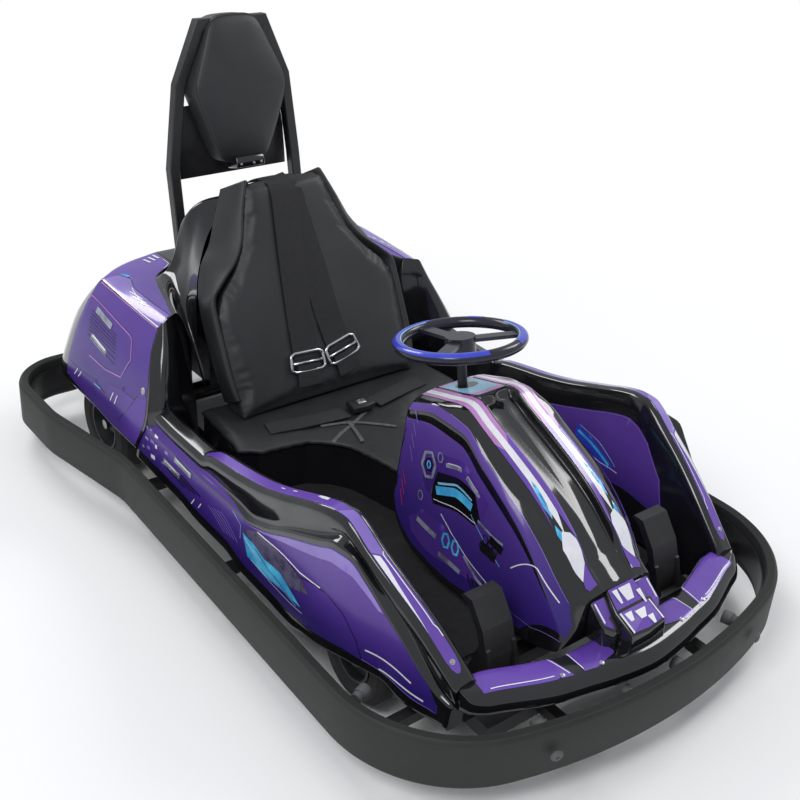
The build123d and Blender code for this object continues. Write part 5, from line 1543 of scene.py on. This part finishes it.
for side, shell in haunch_shells.items():
    prints(f"haunch_film_{side}", shell, HAUNCH_FILMS, lift=0.4)
    prints(f"haunch_print_{side}", shell, HAUNCH_PRINTS, lift=0.9)

FAIRING_FILMS = [
    ("flank", 0, [(208, 0.05), (208, 1.75), (330, 1.76), (420, 1.6), (560, 1.9), (660, 2.15),
                  (728, 2.3), (748, 1.9),
                  (751, 0.8), (641, 0.1), (422, 0.04)]),
]
FAIRING_PRINTS = [
    ("mauve", 0, [(206.5, 3.04), (206.5, 3.3), (430, 3.3), (470, 3.27), (450, 3.04)]),
    ("white", 0, [(206.5, 3.3), (206.5, 3.62), (620, 3.66), (657, 3.45), (600, 3.3), (545, 3.28),
                  (430, 3.3)]),
    ("mauve", 0, [(206.5, 3.62), (206.5, 3.88), (440, 3.88), (460, 3.64)]),
    ("violet", 0, [(440, 3.88), (460, 3.64), (620, 3.68), (668, 3.86), (725, 3.92), (600, 3.92)]),
    ("violet", 0, [(450, 3.04), (470, 3.27), (545, 3.28), (600, 3.16), (640, 3.04)]),
    ("sky", 0, [(540, 3.3), (575, 3.5), (612, 3.44), (626, 3.25), (590, 3.12)]),
    ("cyan", 0, [(546, 3.4), (566, 3.46), (600, 3.4), (621, 3.24), (590, 3.16)]),
    ("cyan", 0, [(636, 3.2), (651, 3.34), (668, 3.16), (651, 3.08)]),
    ("white", 0, [(650, 3.36), (658, 3.72), (672, 3.88), (690, 3.86), (704, 3.82), (727, 3.34),
                  (701, 3.12), (674, 3.0)]),
    ("violet", 0, [(704, 3.84), (742, 3.9), (745, 3.4), (738, 3.28), (727, 3.34)]),
    ("light", 2.0, [(440, 3.9), (560, 3.93), (668, 3.93)]),
]
SIDE_MOTIFS = [
    ("deep", 0, [(282, 0.66), (330, 0.78), (420, 0.86), (500, 0.84), (486, 0.66), (430, 0.52),
                 (340, 0.46), (290, 0.5)]),
    ("deep", 0, [(262, 0.2), (300, 0.34), (372, 0.36), (430, 0.3), (520, 0.26), (470, 0.16),
                 (330, 0.1), (275, 0.12)]),
    ("gloss", 0, [(318, 0.5), (330, 0.44), (470, 0.58), (482, 0.66), (455, 0.78), (330, 0.66)]),
    ("cyan", 20, [(334, 0.54), (392, 0.62), (452, 0.67)]),
    ("sky", 5, [(336, 0.59), (392, 0.67), (448, 0.71)]),
    ("white", 2, [(330, 0.47), (400, 0.53), (470, 0.6)]),
    ("grey", 6, [(476, 0.64), (530, 0.66), (560, 0.7)]),
    ("gloss", 26, [(496, 0.5), (545, 0.53)]), ("gloss", 20, [(520, 0.62), (560, 0.64)]),
    ("grey", 9, [(352, 0.74), (402, 0.79)]), ("grey", 9, [(420, 0.79), (470, 0.8)]),
    ("white", 2, [(356, 0.76), (398, 0.8)]), ("white", 2, [(424, 0.81), (464, 0.82)]),
    ("grey", 13, [(288, 0.25), (356, 0.25)]), ("grey", 12, [(372, 0.16), (446, 0.16)]),
    ("grey", 8, [(450, 0.3), (500, 0.22), (540, 0.2)]), ("gloss", 22, [(520, 0.2), (572, 0.2)]),
    ("white", 2, [(304, 0.25), (350, 0.25)]),
    ("white", 2.4, [(360, 0.42), (400, 0.36), (470, 0.3), (540, 0.26)]),
    ("white", 2.6, [(590, 0.6), (650, 0.98), (712, 1.76)]),
    ("sky", 1.6, [(452, 0.62), (500, 0.56), (560, 0.5)]),
    ("light", 1.2, [(600, 0.2), (670, 0.24), (745, 0.5)]),
    ("light", 1.4, [(330, 1.74), (420, 1.58), (560, 1.88), (660, 2.13), (726, 2.28)]),
] + [
    hexagon(300, 0.66, 22, 7, "grey"), hexagon(300, 0.66, 11, 4, "gloss"),
    hexagon(300, 0.66, 6, 3, "cyan"), hexagon(332, 0.76, 8, 3, "grey"),
    hexagon(288, 0.42, 8, 3, "grey"), hexagon(388, 0.28, 12, 6, "cyan"),
    hexagon(420, 0.29, 12, 6, "cyan"),
] + [
    hexagon(u, v, 8, 2.4, "gloss")
    for u, v in ((500, 0.5), (516, 0.5), (508, 0.58), (524, 0.58), (532, 0.5), (540, 0.58))
]
SIDE_MOTIFS += dashes("red", 2.6, (222, 0.28), (236, 0.2), (0, 0.09), 3)
SIDE_MOTIFS += dashes("light", 2.4, (232, 0.7), (246, 0.6), (0, 0.1), 4)
SIDE_MOTIFS += dashes("gloss", 4.0, (470, 0.2), (488, 0.12), (14, 0.0), 6)


def across(point):
    """The same place on the far half of the fairing."""
    return (point[0], 12 - point[1])


for side, turn in (("right", None), ("left", across)):
    prints(f"fairing_film_{side}", fairing, FAIRING_FILMS, turn, 0.4)
    prints(f"fairing_print_{side}", fairing, FAIRING_PRINTS + SIDE_MOTIFS, turn, 0.7)
prints("fairing_plateau", fairing, [
    ("mauve", 0, [(208, 4.2), (208, 7.8), (300, 7.8), (330, 6.9), (330, 5.1), (300, 4.2)]),
    ("sky", 0, [(218, 4.5), (218, 7.5), (290, 7.4), (314, 6.7), (314, 5.3), (290, 4.6)]),
    ("gloss", 0, [(252 + 20 * math.cos(0.4 * k), 6 + 0.72 * math.sin(0.4 * k)) for k in range(16)]),
], lift=0.8)

# The lip's rows run the other way, so its normals may point inwards
LIP_LAST = len(LIP_STATIONS) - 1
LIP_OUT = 1 if lip.normal(5.0, 2.5, 0.05).z > 0 else -1
LIP_PRINTS = [
    ("violet", 0, [(2.48, 1.18), (3.4, 1.16), (4.36, 1.2), (4.6, 3.05), (4.2, 3.0), (2.12, 3.1)]),
    ("white", 2.4, [(2.5, 1.3), (3.4, 1.26), (4.3, 1.32), (4.52, 2.9)]),
    ("white", 2.4, [(2.7, 2.9), (4.1, 2.85)]),
    ("violet", 0, [(4.95, 3.0), (5.0, 1.6), (5.5, 1.2), (6.2, 1.2), (6.3, 2.7), (5.44, 3.0)]),
    ("white", 2.0, [(4.98, 2.9), (5.03, 1.7), (5.5, 1.3), (6.14, 1.3)]),
]
for side, turn in (("right", None), ("left", lambda p: (LIP_LAST - p[0], p[1]))):
    prints(f"lip_print_{side}", lip, LIP_PRINTS, turn, LIP_OUT * 0.6)


# Nose: films on both tiers


def film(name, points, material, inset, lift):
    """Thin print on a flat or gently folded face given by its corners."""
    points = [Vector(p) for p in points]
    middle = sum(points, Vector()) / len(points)
    count = len(points)
    n = Vector()
    for a, b in zip(points, points[1:] + points[:1]):
        n += (a - middle).cross(b - middle)
    n.normalize()
    if n.z < 0:
        n = -n
    verts = [(middle + (p - middle) * inset + n * lift) * MM for p in points]
    verts.append((middle + n * lift) * MM)
    faces = [(i, (i + 1) % count, count) for i in range(count)]
    obj = new_object(name, verts, faces, material, smooth=False)
    if sum(p.normal.z for p in obj.data.polygons) < 0:
        obj.data.flip_normals()
    return obj


# name, corners, material, share of the outline, height above the face; y is mirrored
NOSE_PAIRS = [
    ("flange_film", [(758, 82, 282), (800, 82, 250), (816, 64, 241), (804, 54, 248),
                     (758, 46, 282)],
     "violet", 0.9, 0.9),
    ("flange_line", [(764, 78, 278), (798, 78, 252), (797, 74, 253), (764, 74, 278)],
     "white", 1.0, 1.5),
    ("nose_edge", [(804, 44, 265), (848, 44, 247), (847, 40, 248), (804, 40, 266)],
     "white", 1.0, 1.6),
]
NOSE_TOPS = [
    ("nose_film_rear", [(757, -39, 292), (757, 39, 292), (799, 48, 268), (799, -48, 268)], 0.92),
    ("nose_film_front",
     [(801, -48, 267), (801, 48, 267), (848, 46, 247), (849, 0, 242), (848, -46, 247)], 0.93),
]


def nose_white(name, x, y, width, run, narrow, inset, level):
    """White shard on the nose; level gives the height at x, then at its front end."""
    near, far = level(x)
    corners = [(x, y, near), (x, y + width, near), (x + run, y + width * narrow, far),
               (x + run, y + inset, far)]
    return film(name, corners, "white", 1.0, 1.7)


def rear_level(x):
    return 293 - (x - 757) * 0.57, 292.6 - (x - 731) * 0.57


def front_level(x):
    return 265.2 - (x - 804) * 0.42, 265.2 - (x - 786) * 0.42


films = []
for sign in (-1, 1):
    for name, corners, material, inset, lift in NOSE_PAIRS:
        corners = [(x, sign * y, z) for x, y, z in corners]
        films.append(film(f"{name}_{sign}", corners, material, inset, lift))
for name, corners, inset in NOSE_TOPS:
    films.append(film(name, corners, "violet", inset, 0.9))
for k, place in enumerate(((764, -30, 14), (764, -12, 34), (780, 26, 12))):
    films.append(nose_white(f"nose_white_{k}", *place, 26, 0.7, 4, rear_level))
for k, place in enumerate(((808, -34, 20), (812, -8, 30), (830, 12, 16))):
    films.append(nose_white(f"nose_white_front_{k}", *place, 18, 0.6, 3, front_level))
finish_piece(join("nose_films", films))

# Steering wheel inlays ride the wheel

LEAN = math.radians(12)
WHEEL_UP = Vector((-math.sin(LEAN), 0, math.cos(LEAN)))
WHEEL_AHEAD = Vector((math.cos(LEAN), 0, math.sin(LEAN)))
WHEEL_MID = Vector((216, 0, 607))
WHEEL_RADIUS = 137
GRIP_RADIUS = 13


def spoke(degrees):
    """Direction in the wheel's plane, from the front towards the driver's left."""
    a = math.radians(degrees)
    return WHEEL_AHEAD * math.cos(a) + Vector((0, 1, 0)) * math.sin(a)


def inlay(name, start, end, low=28, high=112, material="blue", lift=0.7):
    """Coloured band on the ring, between two places round it and two angles of its section."""
    verts, faces = [], []
    count = max(int(abs(end - start) / 4), 2)
    for i in range(count + 1):
        out = spoke(start + (end - start) * i / count)
        for k in range(7):
            t = math.radians(low + (high - low) * k / 6)
            along = WHEEL_RADIUS + (GRIP_RADIUS + lift) * math.cos(t)
            high_up = (GRIP_RADIUS + lift) * math.sin(t)
            verts.append((WHEEL_MID + out * along + WHEEL_UP * high_up) * MM)
        if i:
            faces += [(7 * i - 7 + k, 7 * i + k, 7 * i + k + 1, 7 * i - 6 + k) for k in range(6)]
    return new_object(name, verts, faces, material)


inlays = [
    inlay("inlay_0", 171, 345), inlay("inlay_1", 22, 93), inlay("inlay_2", 117, 132),
    inlay("inlay_edge_0", 176, 340, 112, 122, "sky", 0.9),
    inlay("inlay_edge_1", 26, 90, 112, 122, "sky", 0.9),
]
finish_piece(join("wheel_inlays", inlays), "steering")
dome = [(0, 30), (4, 29), (7, 24), (9, 12), (9.5, 0.1)]
edge = [(0, 33), (3, 33), (3.4, 31), (0, 30.5)]
hub = [
    lathe("hub_dome", WHEEL_MID - WHEEL_UP * 16, WHEEL_UP, dome, "gloss", 32),
    lathe("hub_ring", WHEEL_MID - WHEEL_UP * 14, WHEEL_UP, edge, "steel", 32),
]
for k in range(6):
    at = WHEEL_MID - WHEEL_UP * 11 + spoke(60 * k + 30) * 23
    hub.append(bolt(f"hub_bolt_{k}", at, WHEEL_UP, 3.0))
finish_piece(join("wheel_hub_trim", hub), "steering")

# Rubber stubs between the body and the bumper, and the fasteners

# x, y and the axis in plan
STUBS = [(588, 510, 0.35, 1), (846, 282, 1, 0.32), (884, 74, 1, 0.05)]
STUB_PROFILE = [(0, 15), (20, 15), (22, 14), (22, 12), (34, 12), (35, 11), (35, 0.1)]
fittings = []
for side, sign in SIDES.items():
    for x, y, ax, ay in STUBS:
        axis = Vector((ax, ay * sign, 0)).normalized()
        at = Vector((x, y * sign, 136)) - axis * 12
        fittings.append(lathe(f"stub_{side}_{x}", at, axis, STUB_PROFILE, "grommet", 20))
finish_piece(join("bumper_stubs", fittings))


def screw_on(name, shell, u, v, du, radius, out=1):
    """Screw seated on a shell at (u, v)."""
    n = shell.normal(u, v, du) * out
    return bolt(name, shell.at(u, v) + n, n, radius)


screws = []
for side, shell in side_shells.items():
    screws.append(screw_on(f"strip_bolt_{side}", shell, 706, 7.46, 1.0, 6))
    screws.append(screw_on(f"haunch_bolt_{side}", haunch_shells[side], 0.18, 4.3, 0.02, 9))
    for u in (4.3, 5.7):
        u = u if side == "right" else LIP_LAST - u
        screws.append(screw_on(f"lip_bolt_{side}_{u:.1f}", lip, u, 2.9, 0.05, 5, LIP_OUT))
finish_piece(join("body_bolts", screws))
belt_screws = [
    bolt(f"belt_bolt_{k}", (914.5, 299 * sign, 123), (0.93, 0.37 * sign, 0), 13, "grommet")
    for k, sign in enumerate((-1, 1))
]
finish_piece(join("belt_bolts", belt_screws))
